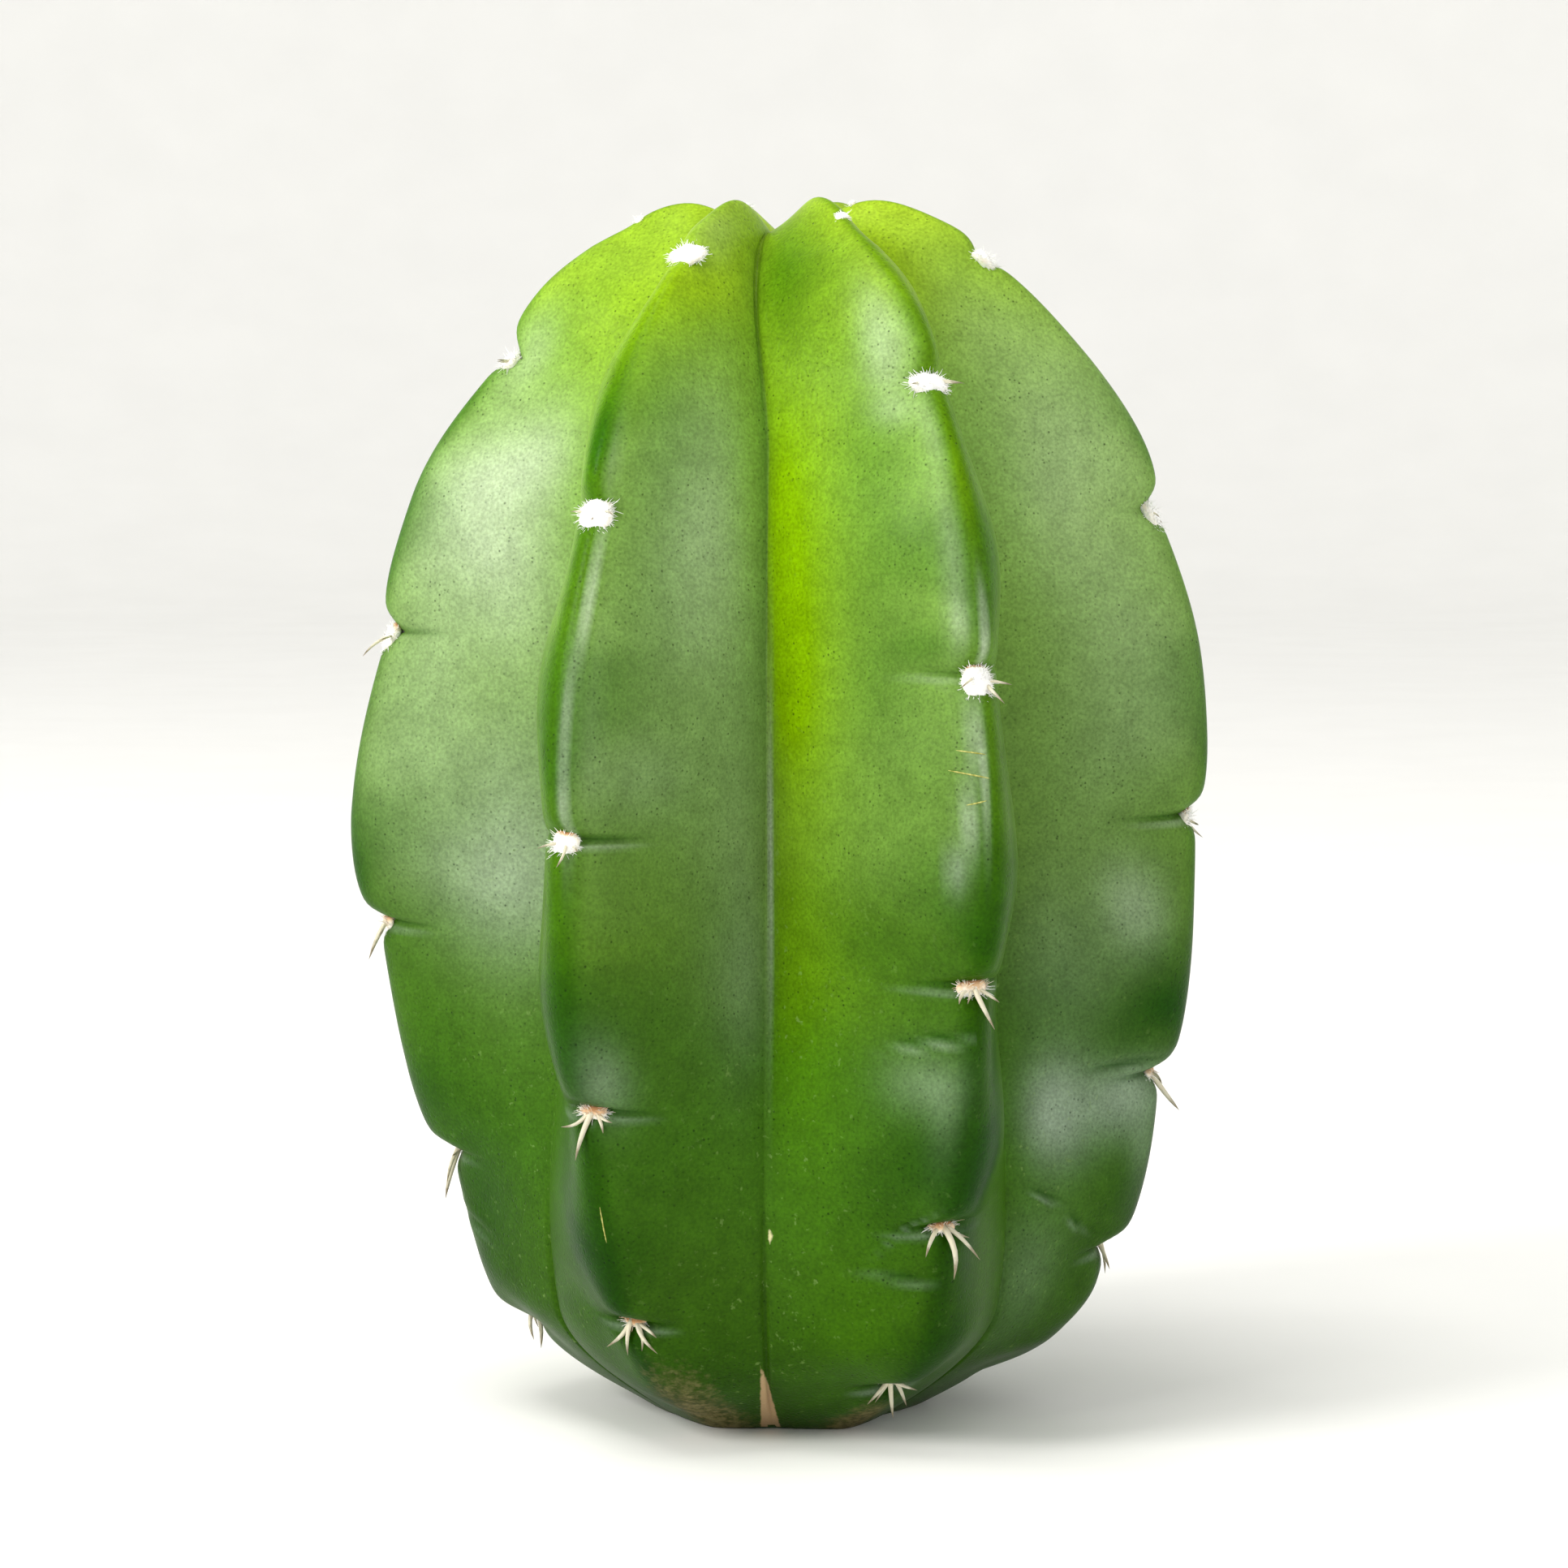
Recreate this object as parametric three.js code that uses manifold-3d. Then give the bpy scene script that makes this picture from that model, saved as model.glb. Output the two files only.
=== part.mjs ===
// A single stem of a small six-ribbed hedgehog cactus, cut level at the soil line and standing
// upright on the cut. Millimetres, +Z up, origin at the middle of the cut face. The side that
// faces -Y is the front.
//
// The stem is one closed skin. Its rib crests follow an egg-shaped outline and its grooves a
// slimmer column, and the flanks run between the two. Each crest swells towards the areole below
// and rounds off under it into a notch. A woolly areole sits in every notch and carries a few
// short spines. Areoles and spines are joined to the skin, as they grow from it.

import * as THREE from "three";
import { mergeVertices } from "three/addons/utils/BufferGeometryUtils.js";
import Module from "manifold-3d";

// Crest outline: a dome above the widest level, a taper below it and a rounded-in foot.
const WIDEST_LEVEL = 38;
const CREST_RADIUS = 26.6;
const CREST_TOP = 78;
const CREST_DOME_POWER = 2.3;
const CREST_TAPER = 0.777;
const CREST_TAPER_POWER = 1.5;
const FOOT_HEIGHT = 8;
const FOOT_SHRINK = 0.42;
const FOOT_POWER = 1.9;

// Groove outline: a share of the crest radius, fuller at both ends, under a lower dome.
const GROOVE_TOP = 76.2;
const GROOVE_SHARE = 0.54;
const GROOVE_GAIN_AT_TOP = 0.05;
const GROOVE_TOP_BAND = [40, 70];
const GROOVE_GAIN_AT_FOOT = 0.34;
const GROOVE_FOOT_BAND = [0, 38];

// Growing point: crests and grooves sink to meet in one dimple on the axis, and the ribs turn
// a little as they come to it.
const APEX_HEIGHT = 74.4;
const DIMPLE_RADIUS = 4;
const TWIST_BAND = [66, 77];

// The ribs, by the compass angle of the crest from the front, counted towards +X. Areoles of
// neighbouring ribs alternate: first is the level of the rib's topmost full areole. lift raises
// the areoles at mid height and drop lowers them at the foot. shoulder, upper and foot are
// shares that the crest radius gains there. Each comes in over a band of heights.
const RIBS = [
  { azimuth: -29.3, first: 0, lift: 0.3, drop: 1.4, shoulder: -0.06, upper: -0.03, foot: -0.02 },
  { azimuth: 27.6, first: -1, lift: -0.6, drop: 1.0, shoulder: 0, upper: 0, foot: 0.02 },
  { azimuth: 88.5, first: 0, lift: -0.3, drop: -0.8, shoulder: -0.045, upper: 0.022, foot: 0.055 },
  { azimuth: 148, first: -1, lift: 0.2, drop: 0.4, shoulder: 0, upper: 0.01, foot: 0.03 },
  { azimuth: 210, first: 0, lift: 0.2, drop: -0.3, shoulder: -0.02, upper: -0.02, foot: 0 },
  { azimuth: 270, first: -1, lift: 0.7, drop: -1.0, shoulder: -0.07, upper: -0.03, foot: -0.065 },
];

// In the order of the ribs: the twist of the crest at the growing point, and how far the groove
// towards the next rib lies from the middle between the crests, both in degrees. The second row
// of groove turns is added near the top.
const CREST_TWIST = [2, -4.5, -4.5, -4.5, -4.5, -4.5];
const GROOVE_TURN = [-2.2, 0, 0, 1.5, -1, 0.5];
const GROOVE_TURN_AT_TOP = [-7.5, 0, 0, 0, 0, 0];
const GROOVE_TURN_BAND = [62, 77];

const SHOULDER_BAND = [58, 72];
const UPPER_BAND = [38, 58];
const FOOT_BAND = [6, 36];
const LIFT_END_BAND = [68, 75];
const DROP_START_BAND = [0, 4];
const DROP_TO_LIFT_BAND = [10, 24];

// Crest heights of the half steps between areoles, from the growing point down to the cut.
const FIRST_LEVEL = -3;
const LEVEL_HEIGHTS = [
  77.94, 77.62, 75.9, 73.9, 66.9, 58.1, 49.3, 38.5, 30.5, 21.8, 15.6, 9.6, 4.8, 1.8, 0,
];
const LAST_LEVEL = FIRST_LEVEL + LEVEL_HEIGHTS.length - 1;
const LAST_AREOLE_LEVEL = 9;

// Lobes: the swelling of a crest between two areoles. It peaks well below the middle and rounds
// off to the notch. The break at the notch is crisp near the crest and soft on the flank.
const SWELL = 1.25;
const SWELL_SPREAD = 0.5;
const SWELL_REST = 0.45;
const YOUNG_PEAK = 0.72;
const OLD_PEAK = 0.77;
const LIP_POWER = 2.3;
const RISE_START = -0.4;
const RISE_OFFSET = 0.05;
const SOFT_LOBE_POWER = 1.35;
const YOUNG_CRISP_SPREAD = 0.16;
const OLD_CRISP_SPREAD = 0.26;
const NOTCH_DEPTH = 0.85;
const NOTCH_HALF_HEIGHT = 0.8;
const NOTCH_SPREAD = 0.13;
const TOP_FREE_OF_LOBES = [1, 7];
const FOOT_FREE_OF_LOBES = [0.5, 5];
const LOBE_AGE_LEVELS = [1, 8];

// Flank: how round the crest is, how much rounder on a lobe, and how hollow the flank is.
const CREST_ROUNDNESS = 0.15;
const LOBE_ROUNDNESS = 0.14;
const FLANK_HOLLOW = 0.75;

// Areole: an oval cushion of wool, fullest near the top of the stem and worn thin below. The
// youngest ones, in the dimple, are small tufts.
const YOUNG_WOOL = { across: 2.5, along: 2.3, proud: 1.4 };
const OLD_WOOL = { across: 2.2, along: 1.3, proud: 1.0 };
const TUFT_WOOL = { across: 1.3, along: 1.1, proud: 0.6 };
const AREOLE_AGE_LEVELS = [1, 7];
const WOOL_SIDES = 6;
const WOOL_RINGS = 4;

// Spines fan out from the areole. fan is the angle from straight down, across the rib.
const SPINE_FAN = [
  { fan: 0, share: 1 },
  { fan: -56, share: 0.74 },
  { fan: 58, share: 0.78 },
  { fan: -94, share: 0.45 },
  { fan: 97, share: 0.45 },
];
const YOUNG_SPINE_LENGTH = 0.9;
const OLD_SPINE_LENGTH = 2.8;
const SPINE_ROOT_RADIUS = 0.21;
const SPINE_SIDES = 3;
const SPINE_RISE = 42;
const SPINE_ROOT_DEPTH = 0.6;
const SPINE_FOOT_HEIGHT = 0.5;
const FIRST_SPINY_LEVEL = 1;
const FIRST_FULL_FAN_LEVEL = 5;
const YOUNG_FAN_COUNT = 3;
const FAN_JITTER = 9;
const LENGTH_JITTER = 0.15;

// Grid of the skin: columns from crest to groove, rows within a half step, and cap rows.
const COLUMN_STOPS = [0, 0.08, 0.19, 0.36, 0.64, 1];
const LONG_STEP_ROWS = [0, 0.09, 0.34, 0.62, 0.88];
const SHORT_STEP_ROWS = [0, 0.25, 0.7];
const SHORT_STEP_HEIGHT = 5.5;
const CAP_ROWS = [0.5];

const OUTLINE_PROBE = 0.05;
const AREOLE_PROBE = 0.5;

const { clamp, lerp, smoothstep, degToRad } = THREE.MathUtils;
const wasm = await Module();
wasm.setup();

// Seeded random numbers from 0 to 1, so that every run grows the same plant.
let seed = 20519;
function random() {
  seed = (seed * 1664525 + 1013904223) % 4294967296;
  return seed / 4294967296;
}

function bell(distance, spread) {
  return Math.exp(-Math.pow(distance / spread, 2));
}

// Rises smoothly from 0 to 1 over a band of values.
function over(value, band) {
  return smoothstep(value, band[0], band[1]);
}

// Height of a dome's surface with the dimple at the growing point taken off.
function sinkToApex(radius, height, top) {
  return height - (top - APEX_HEIGHT) * bell(radius, DIMPLE_RADIUS);
}

// Crest outline at a crest height, as [radius, height].
function crestOutline(height, growth) {
  const above = clamp((height - WIDEST_LEVEL) / (CREST_TOP - WIDEST_LEVEL), 0, 1);
  const below = clamp(1 - height / WIDEST_LEVEL, 0, 1);
  const dome = Math.pow(1 - above * above, 1 / CREST_DOME_POWER);
  const taper = Math.sqrt(1 - Math.pow(CREST_TAPER * below, CREST_TAPER_POWER));
  const foot = 1 - FOOT_SHRINK * Math.pow(clamp(1 - height / FOOT_HEIGHT, 0, 1), FOOT_POWER);
  const upper = growth.upper * over(height, UPPER_BAND);
  const shoulder = growth.shoulder * over(height, SHOULDER_BAND);
  const lower = growth.foot * (1 - over(height, FOOT_BAND));
  const radius = CREST_RADIUS * dome * taper * foot * (1 + upper + shoulder + lower);
  return [radius, sinkToApex(radius, height, CREST_TOP)];
}

// Groove outline beside a crest height, as [radius, height].
function grooveOutline(height) {
  const [crestRadius] = crestOutline(height, { shoulder: 0, upper: 0, foot: 0 });
  const atTop = GROOVE_GAIN_AT_TOP * over(height, GROOVE_TOP_BAND);
  const atFoot = GROOVE_GAIN_AT_FOOT * (1 - over(height, GROOVE_FOOT_BAND));
  const radius = crestRadius * (GROOVE_SHARE + atTop + atFoot);
  const squeeze = (GROOVE_TOP - WIDEST_LEVEL) / (CREST_TOP - WIDEST_LEVEL);
  const level = height > WIDEST_LEVEL ? WIDEST_LEVEL + (height - WIDEST_LEVEL) * squeeze : height;
  return [radius, sinkToApex(radius, level, GROOVE_TOP)];
}

// Crest height of a level, which may lie between two half steps or in the cap above the first.
function heightOfLevel(level, growth) {
  const place = clamp(level - FIRST_LEVEL, 0, LEVEL_HEIGHTS.length - 1);
  const from = Math.min(Math.floor(place), LEVEL_HEIGHTS.length - 2);
  let height = lerp(LEVEL_HEIGHTS[from], LEVEL_HEIGHTS[from + 1], place - from);
  if (level < FIRST_LEVEL) {
    const inward = clamp(level - FIRST_LEVEL + 1, 0, 1);
    height = CREST_TOP - (CREST_TOP - LEVEL_HEIGHTS[0]) * Math.pow(inward, CREST_DOME_POWER);
  }
  const raised = over(height, DROP_TO_LIFT_BAND);
  const lifted = growth.lift * raised * (1 - over(height, LIFT_END_BAND));
  const dropped = growth.drop * over(height, DROP_START_BAND) * (1 - raised);
  return height + lifted - dropped;
}

// Growth of a rib at a place across it. In a groove it is the mean of the two neighbours'.
function growthAt(index, neighbour, across) {
  const blend = (key) => lerp(RIBS[index][key], RIBS[neighbour][key], 0.5 * across);
  return {
    lift: blend("lift"),
    drop: blend("drop"),
    shoulder: blend("shoulder"),
    upper: blend("upper"),
    foot: blend("foot"),
  };
}

// Fullness of the lobe at a place from 0, just under an areole, to 1, at the next one below.
function lobeProfile(part, age, across) {
  const peak = lerp(YOUNG_PEAK, OLD_PEAK, age);
  const climb = (smoothstep(part, RISE_START, peak) - RISE_OFFSET) / (1 - RISE_OFFSET);
  const past = clamp((part - peak) / (1 - peak), 0, 1);
  const crisp = part < peak ? Math.max(0, climb) : Math.sqrt(1 - Math.pow(past, LIP_POWER));
  const soft = 0.5 - 0.5 * Math.cos(2 * Math.PI * Math.pow(part, SOFT_LOBE_POWER));
  return lerp(soft, crisp, bell(across, lerp(YOUNG_CRISP_SPREAD, OLD_CRISP_SPREAD, age)));
}

// Share of the rib's height left at a place across it, 1 on the crest and 0 in the groove.
function flankShare(across, roundness) {
  const bent = Math.hypot(across, roundness) - roundness;
  const run = bent / (Math.hypot(1, roundness) - roundness);
  return (1 - run) / (1 + FLANK_HOLLOW * run);
}

// Degrees that a place across a rib is turned from an even spread between the crests.
function turnAt(index, neighbour, side, height) {
  const across = Math.abs(side);
  const groove = side < 0 ? neighbour : index;
  const twist = lerp(CREST_TWIST[index], CREST_TWIST[neighbour], 0.5 * across);
  const slant = GROOVE_TURN[groove] + GROOVE_TURN_AT_TOP[groove] * over(height, GROOVE_TURN_BAND);
  return twist * over(height, TWIST_BAND) + slant * across * across;
}

// A point of the skin. side runs from -1 in one groove, over the crest at 0, to 1 in the next.
// The point lies between the groove outline and the crest outline, moved out along the crest
// outline's normal by the lobe and in by the notch.
function skinPoint(index, side, level) {
  const across = Math.abs(side);
  const step = side < 0 ? -1 : 1;
  const neighbour = (index + step + RIBS.length) % RIBS.length;
  const growth = growthAt(index, neighbour, across);
  const height = heightOfLevel(level, growth);
  const [crestRadius, crestHeight] = crestOutline(height, growth);
  const [grooveRadius, grooveHeight] = grooveOutline(height);
  const [upRadius, upHeight] = crestOutline(Math.min(height + OUTLINE_PROBE, CREST_TOP), growth);
  const [downRadius, downHeight] = crestOutline(Math.max(height - OUTLINE_PROBE, 0), growth);
  const run = Math.hypot(upRadius - downRadius, upHeight - downHeight);

  const steps = (level - RIBS[index].first) / 2;
  const nearest = RIBS[index].first + 2 * Math.round(steps);
  const age = over(level, LOBE_AGE_LEVELS);
  const profile = lobeProfile(steps - Math.floor(steps), age, across);
  const gap = height - heightOfLevel(nearest, growth);
  const notch = nearest <= LAST_AREOLE_LEVEL ? bell(gap, NOTCH_HALF_HEIGHT) : 0;
  const grown = over(CREST_TOP - height, TOP_FREE_OF_LOBES) * over(height, FOOT_FREE_OF_LOBES);
  const swell = SWELL * (profile - SWELL_REST) * bell(across, SWELL_SPREAD);
  const out = grown * (swell - NOTCH_DEPTH * notch * bell(across, NOTCH_SPREAD));

  const share = flankShare(across, CREST_ROUNDNESS + LOBE_ROUNDNESS * profile * grown);
  const radius = lerp(grooveRadius, crestRadius, share) + (out * (upHeight - downHeight)) / run;
  const z = lerp(grooveHeight, crestHeight, share) + (out * (downRadius - upRadius)) / run;
  const here = RIBS[index].azimuth;
  const apart = ((RIBS[neighbour].azimuth - here) * step + 360) % 360;
  const turn = degToRad(here + side * 0.5 * apart + turnAt(index, neighbour, side, height));
  return new THREE.Vector3(radius * Math.sin(turn), -radius * Math.cos(turn), Math.max(z, 0));
}

function skinGeometry() {
  const columns = [];
  RIBS.forEach((rib, index) => {
    COLUMN_STOPS.slice(1).reverse().forEach((stop) => columns.push([index, -stop]));
    COLUMN_STOPS.slice(0, -1).forEach((stop) => columns.push([index, stop]));
  });
  const levels = CAP_ROWS.map((stop) => FIRST_LEVEL - 1 + stop);
  for (let half = 0; half < LEVEL_HEIGHTS.length - 1; half += 1) {
    const drop = LEVEL_HEIGHTS[half] - LEVEL_HEIGHTS[half + 1];
    const stops = drop > SHORT_STEP_HEIGHT ? LONG_STEP_ROWS : SHORT_STEP_ROWS;
    stops.forEach((stop) => levels.push(FIRST_LEVEL + half + stop));
  }
  levels.push(LAST_LEVEL);
  const positions = [0, 0, APEX_HEIGHT, 0, 0, 0];
  levels.forEach((level) => {
    columns.forEach(([index, side]) => positions.push(...skinPoint(index, side, level).toArray()));
  });
  const vertex = (row, column) => 2 + row * columns.length + (column % columns.length);
  const faces = [];
  columns.forEach((unused, column) => {
    faces.push(0, vertex(0, column), vertex(0, column + 1));
    for (let row = 0; row < levels.length - 1; row += 1) {
      const upper = [vertex(row, column), vertex(row, column + 1)];
      const lower = [vertex(row + 1, column), vertex(row + 1, column + 1)];
      faces.push(upper[0], lower[0], lower[1], upper[0], lower[1], upper[1]);
    }
    faces.push(1, vertex(levels.length - 1, column + 1), vertex(levels.length - 1, column));
  });
  const geometry = new THREE.BufferGeometry();
  geometry.setAttribute("position", new THREE.Float32BufferAttribute(positions, 3));
  geometry.setIndex(faces);
  return geometry;
}

// The place of an areole and its directions: down the crest, sideways, and outwards.
function areoleFrame(index, level) {
  const above = skinPoint(index, 0, level - AREOLE_PROBE);
  const below = skinPoint(index, 0, level + AREOLE_PROBE);
  const down = below.clone().sub(above).normalize();
  const foot = skinPoint(index, 0, level);
  const turn = Math.atan2(foot.x, -foot.y);
  const sideways = new THREE.Vector3(Math.cos(turn), Math.sin(turn), 0);
  const out = new THREE.Vector3().crossVectors(down, sideways).normalize();
  return { foot, down, sideways, out };
}

// How old an areole is, from 0 near the top of the stem to 1 near the soil.
function ageOf(level) {
  return over(level, AREOLE_AGE_LEVELS);
}

// The oval wool cushion of one areole, sunk by half into its notch.
function woolGeometry(index, level) {
  const { foot, down, sideways, out } = areoleFrame(index, level);
  const size = (key) => {
    if (level < RIBS[index].first) return TUFT_WOOL[key];
    return lerp(YOUNG_WOOL[key], OLD_WOOL[key], ageOf(level));
  };
  const geometry = new THREE.SphereGeometry(1, WOOL_SIDES, WOOL_RINGS);
  geometry.rotateX(Math.PI / 2);
  geometry.scale(size("across") / 2, size("along") / 2, size("proud"));
  const place = new THREE.Matrix4().makeBasis(sideways, down.clone().negate(), out);
  return geometry.applyMatrix4(place.setPosition(foot));
}

// The spines of one areole: slim pyramids rooted under the wool.
function spineGeometries(index, level) {
  if (level < FIRST_SPINY_LEVEL) return [];
  const { foot, down, sideways, out } = areoleFrame(index, level);
  const longest = lerp(YOUNG_SPINE_LENGTH, OLD_SPINE_LENGTH, ageOf(level));
  const count = level < FIRST_FULL_FAN_LEVEL ? YOUNG_FAN_COUNT : SPINE_FAN.length;
  return SPINE_FAN.slice(0, count).map((spine) => {
    const turn = degToRad(spine.fan + FAN_JITTER * (2 * random() - 1));
    const rise = degToRad(SPINE_RISE);
    const length = longest * spine.share * (1 + LENGTH_JITTER * (2 * random() - 1));
    const heading = down.clone().multiplyScalar(Math.cos(turn));
    heading.addScaledVector(sideways, Math.sin(turn)).multiplyScalar(Math.cos(rise));
    heading.addScaledVector(out, Math.sin(rise)).normalize();
    const whole = length + SPINE_ROOT_DEPTH;
    const geometry = new THREE.ConeGeometry(SPINE_ROOT_RADIUS, whole, SPINE_SIDES);
    geometry.translate(0, whole / 2 - SPINE_ROOT_DEPTH, 0);
    const turned = new THREE.Quaternion().setFromUnitVectors(new THREE.Vector3(0, 1, 0), heading);
    const root = foot.clone().addScaledVector(out, SPINE_FOOT_HEIGHT);
    return geometry.applyQuaternion(turned).translate(root.x, root.y, root.z);
  });
}

// A closed geometry as a solid that can be joined.
function solidOf(geometry) {
  const bare = geometry.clone();
  bare.deleteAttribute("normal");
  bare.deleteAttribute("uv");
  const merged = mergeVertices(bare, 1e-4);
  const vertProperties = merged.attributes.position.array;
  const triVerts = new Uint32Array(merged.index.array);
  return new wasm.Manifold(new wasm.Mesh({ numProp: 3, vertProperties, triVerts }));
}

function geometryOf(solid) {
  const mesh = solid.getMesh();
  const geometry = new THREE.BufferGeometry();
  geometry.setAttribute("position", new THREE.BufferAttribute(mesh.vertProperties, 3));
  geometry.setIndex(new THREE.BufferAttribute(mesh.triVerts, 1));
  geometry.computeVertexNormals();
  return geometry;
}

// The stem with an areole at every second half step of each rib, from the tufts in the dimple.
function stemMesh() {
  let solid = solidOf(skinGeometry());
  RIBS.forEach((rib, index) => {
    for (let level = rib.first - 2; level <= LAST_AREOLE_LEVEL; level += 2) {
      const grown = [woolGeometry(index, level), ...spineGeometries(index, level)];
      grown.forEach((piece) => {
        solid = solid.add(solidOf(piece));
      });
    }
  });
  const skin = new THREE.MeshStandardMaterial({ color: 0x4f8f2c, roughness: 0.4, metalness: 0 });
  const mesh = new THREE.Mesh(geometryOf(solid), skin);
  mesh.name = "stem";
  return mesh;
}

const plant = new THREE.Group();
plant.add(stemMesh());

export default plant;
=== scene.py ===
import math

import bpy
import numpy as np
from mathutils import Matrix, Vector


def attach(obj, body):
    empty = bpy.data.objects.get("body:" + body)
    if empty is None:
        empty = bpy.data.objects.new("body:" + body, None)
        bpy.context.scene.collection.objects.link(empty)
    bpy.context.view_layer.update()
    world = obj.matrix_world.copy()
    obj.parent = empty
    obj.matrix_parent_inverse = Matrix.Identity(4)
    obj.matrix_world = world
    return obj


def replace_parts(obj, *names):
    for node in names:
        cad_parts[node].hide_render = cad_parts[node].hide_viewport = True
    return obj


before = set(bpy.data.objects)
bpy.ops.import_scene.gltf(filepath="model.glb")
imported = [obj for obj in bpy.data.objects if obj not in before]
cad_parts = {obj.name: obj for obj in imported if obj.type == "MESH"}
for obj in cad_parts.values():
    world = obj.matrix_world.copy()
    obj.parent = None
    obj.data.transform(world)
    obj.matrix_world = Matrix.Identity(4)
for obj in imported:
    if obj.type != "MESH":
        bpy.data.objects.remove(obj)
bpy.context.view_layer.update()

# A short egg-shaped hedgehog cactus stem with six deep ribs, cut level at its base.
# Shapes are worked out in millimetres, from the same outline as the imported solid, and
# meshes are made in metres. +Z is up the stem, +X is right and -Y is towards the viewer.

MM = 0.001
RANDOM_SEED = 20519

# Outline of the stem: the crest's dome, taper and foot, the dimple at the growing point, and
# the groove's radius as a share of the crest's, with what is added near the top and the foot

WIDEST_LEVEL = 38.0
CREST_RADIUS = 26.6
CREST_TOP = 78.0
CREST_SHOULDER_POWER = 2.3
CREST_TAPER = 0.777
CREST_TAPER_POWER = 1.5
FOOT_HEIGHT = 8.0
FOOT_SHRINK = 0.42
FOOT_POWER = 1.9
APEX_HEIGHT = 74.4
DIMPLE_RADIUS = 4.0
GROOVE_TOP = 76.2
GROOVE_SHARE = 0.54
GROOVE_SHARE_TOP = 0.05
GROOVE_SHARE_FOOT = 0.34

# Each rib's crest angle round the stem, its first areole's level, how far its levels,
# shoulder, upper half and foot differ from the mean outline, the crest's twist at the growing
# point, and how far the groove on its right lies from the middle, in degrees, with what is
# added near the top. The first rib is left of the front.

RIBS = {
    "azimuth": np.array([-29.3, 27.6, 88.5, 148.0, 210.0, 270.0]),
    "first": np.array([0, -1, 0, -1, 0, -1]),
    "lift": np.array([0.3, -0.6, -0.3, 0.2, 0.2, 0.7]),
    "drop": np.array([1.4, 1.0, -0.8, 0.4, -0.3, -1.0]),
    "shoulder": np.array([-0.06, 0.0, -0.045, 0.0, -0.02, -0.07]),
    "upper": np.array([-0.03, 0.0, 0.022, 0.01, -0.02, -0.03]),
    "foot": np.array([-0.02, 0.02, 0.055, 0.03, 0.0, -0.065]),
    "twist": np.array([2.0, -4.5, -4.5, -4.5, -4.5, -4.5]),
    "groove": np.array([-2.2, 0.0, 0.0, 1.5, -1.0, 0.5]),
    "groove_top": np.array([-7.5, 0.0, 0.0, 0.0, 0.0, 0.0]),
}
LEFT_FRONT, RIGHT_FRONT, RIGHT, RIGHT_BACK, LEFT_BACK, LEFT = range(6)

# Heights in mm over which these differences grow to their full size, or fade out again

UPPER_GROWS = (38, 58)
SHOULDER_GROWS = (58, 72)
FOOT_FADES = (6, 36)
LIFT_GROWS = (10, 24)
LIFT_FADES = (68, 75)
DROP_GROWS = (0, 4)
TWIST_GROWS = (66, 77)
GROOVE_TURN_GROWS = (62, 77)

# Areole levels run down the stem: the heights of levels -3 to 11

FIRST_LEVEL = -3
LAST_AREOLE_LEVEL = 9
LEVEL_HEIGHTS = np.array(
    [77.94, 77.62, 75.9, 73.9, 66.9, 58.1, 49.3, 38.5, 30.5, 21.8, 15.6, 9.6, 4.8, 1.8, 0.0]
)
LEVELS = FIRST_LEVEL + np.arange(len(LEVEL_HEIGHTS))

# Lobes of the crest between areoles, the notch at each areole, and the flank's section.
# Lengths are in mm, widths and roundings in shares of the flank, and ages in levels.

LOBE_SWELL = 1.25
LOBE_SPREAD = 0.5
LOBE_REST = 0.45
LOBE_PEAK_YOUNG = 0.72
LOBE_PEAK_OLD = 0.77
LOBE_LIP_POWER = 2.3
LOBE_START = -0.40
LOBE_OFFSET = 0.05
LOBE_WIDTH_YOUNG = 0.16
LOBE_WIDTH_GAIN = 0.10
LOBE_WAVE_POWER = 1.35
LOBE_AGES = (1, 8)
LOBE_TOP_FADES = (1.0, 7.0)
LOBE_FOOT_FADES = (0.5, 5.0)
NOTCH_DEPTH = 0.85
NOTCH_HALF = 0.8
NOTCH_SPREAD = 0.13
CREST_ROUND = 0.15
LOBE_ROUND = 0.14
FLANK_HOLLOW = 0.75
NORMAL_STEP = 0.05


def ease(x, start, end):
    """0 up to start, 1 from end, and a smooth S between them."""
    t = np.clip((x - start) / (end - start), 0.0, 1.0)
    return t * t * (3 - 2 * t)


def bell(x, width):
    """A bell curve, 1 at zero, that falls to 1/e at the width."""
    return np.exp(-((x / width) ** 2))


def unit(vectors):
    """The vectors at length 1."""
    return vectors / np.linalg.norm(vectors, axis=-1, keepdims=True)


def shared(key, rib, side, across):
    """A rib's own value at its crest, easing to the mean of both ribs in the groove."""
    beside = (rib + side) % 6
    return RIBS[key][rib] * (1 - across / 2) + RIBS[key][beside] * across / 2


def sink_to_apex(radius, height, top):
    """Lowers what is near the axis by a bell curve, so that the outline ends in the dimple."""
    return height - (top - APEX_HEIGHT) * bell(radius, DIMPLE_RADIUS)


def crest_outline(height, shoulder=0.0, upper=0.0, foot=0.0):
    """Radius and height of the crest: a rounded dome over the widest level, a taper below it,
    a quick draw-in at the foot, and the rib's own shares of shoulder, upper half and foot."""
    above = np.clip((height - WIDEST_LEVEL) / (CREST_TOP - WIDEST_LEVEL), 0, 1)
    below = np.clip(1 - height / WIDEST_LEVEL, 0, 1)
    dome = (1 - above**2) ** (1 / CREST_SHOULDER_POWER)
    taper = np.sqrt(1 - (CREST_TAPER * below) ** CREST_TAPER_POWER)
    draw_in = 1 - FOOT_SHRINK * np.clip(1 - height / FOOT_HEIGHT, 0, 1) ** FOOT_POWER
    own = 1 + upper * ease(height, *UPPER_GROWS) + shoulder * ease(height, *SHOULDER_GROWS)
    own = own + foot * (1 - ease(height, *FOOT_FADES))
    radius = CREST_RADIUS * dome * taper * draw_in * own
    return radius, sink_to_apex(radius, height, CREST_TOP)


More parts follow.
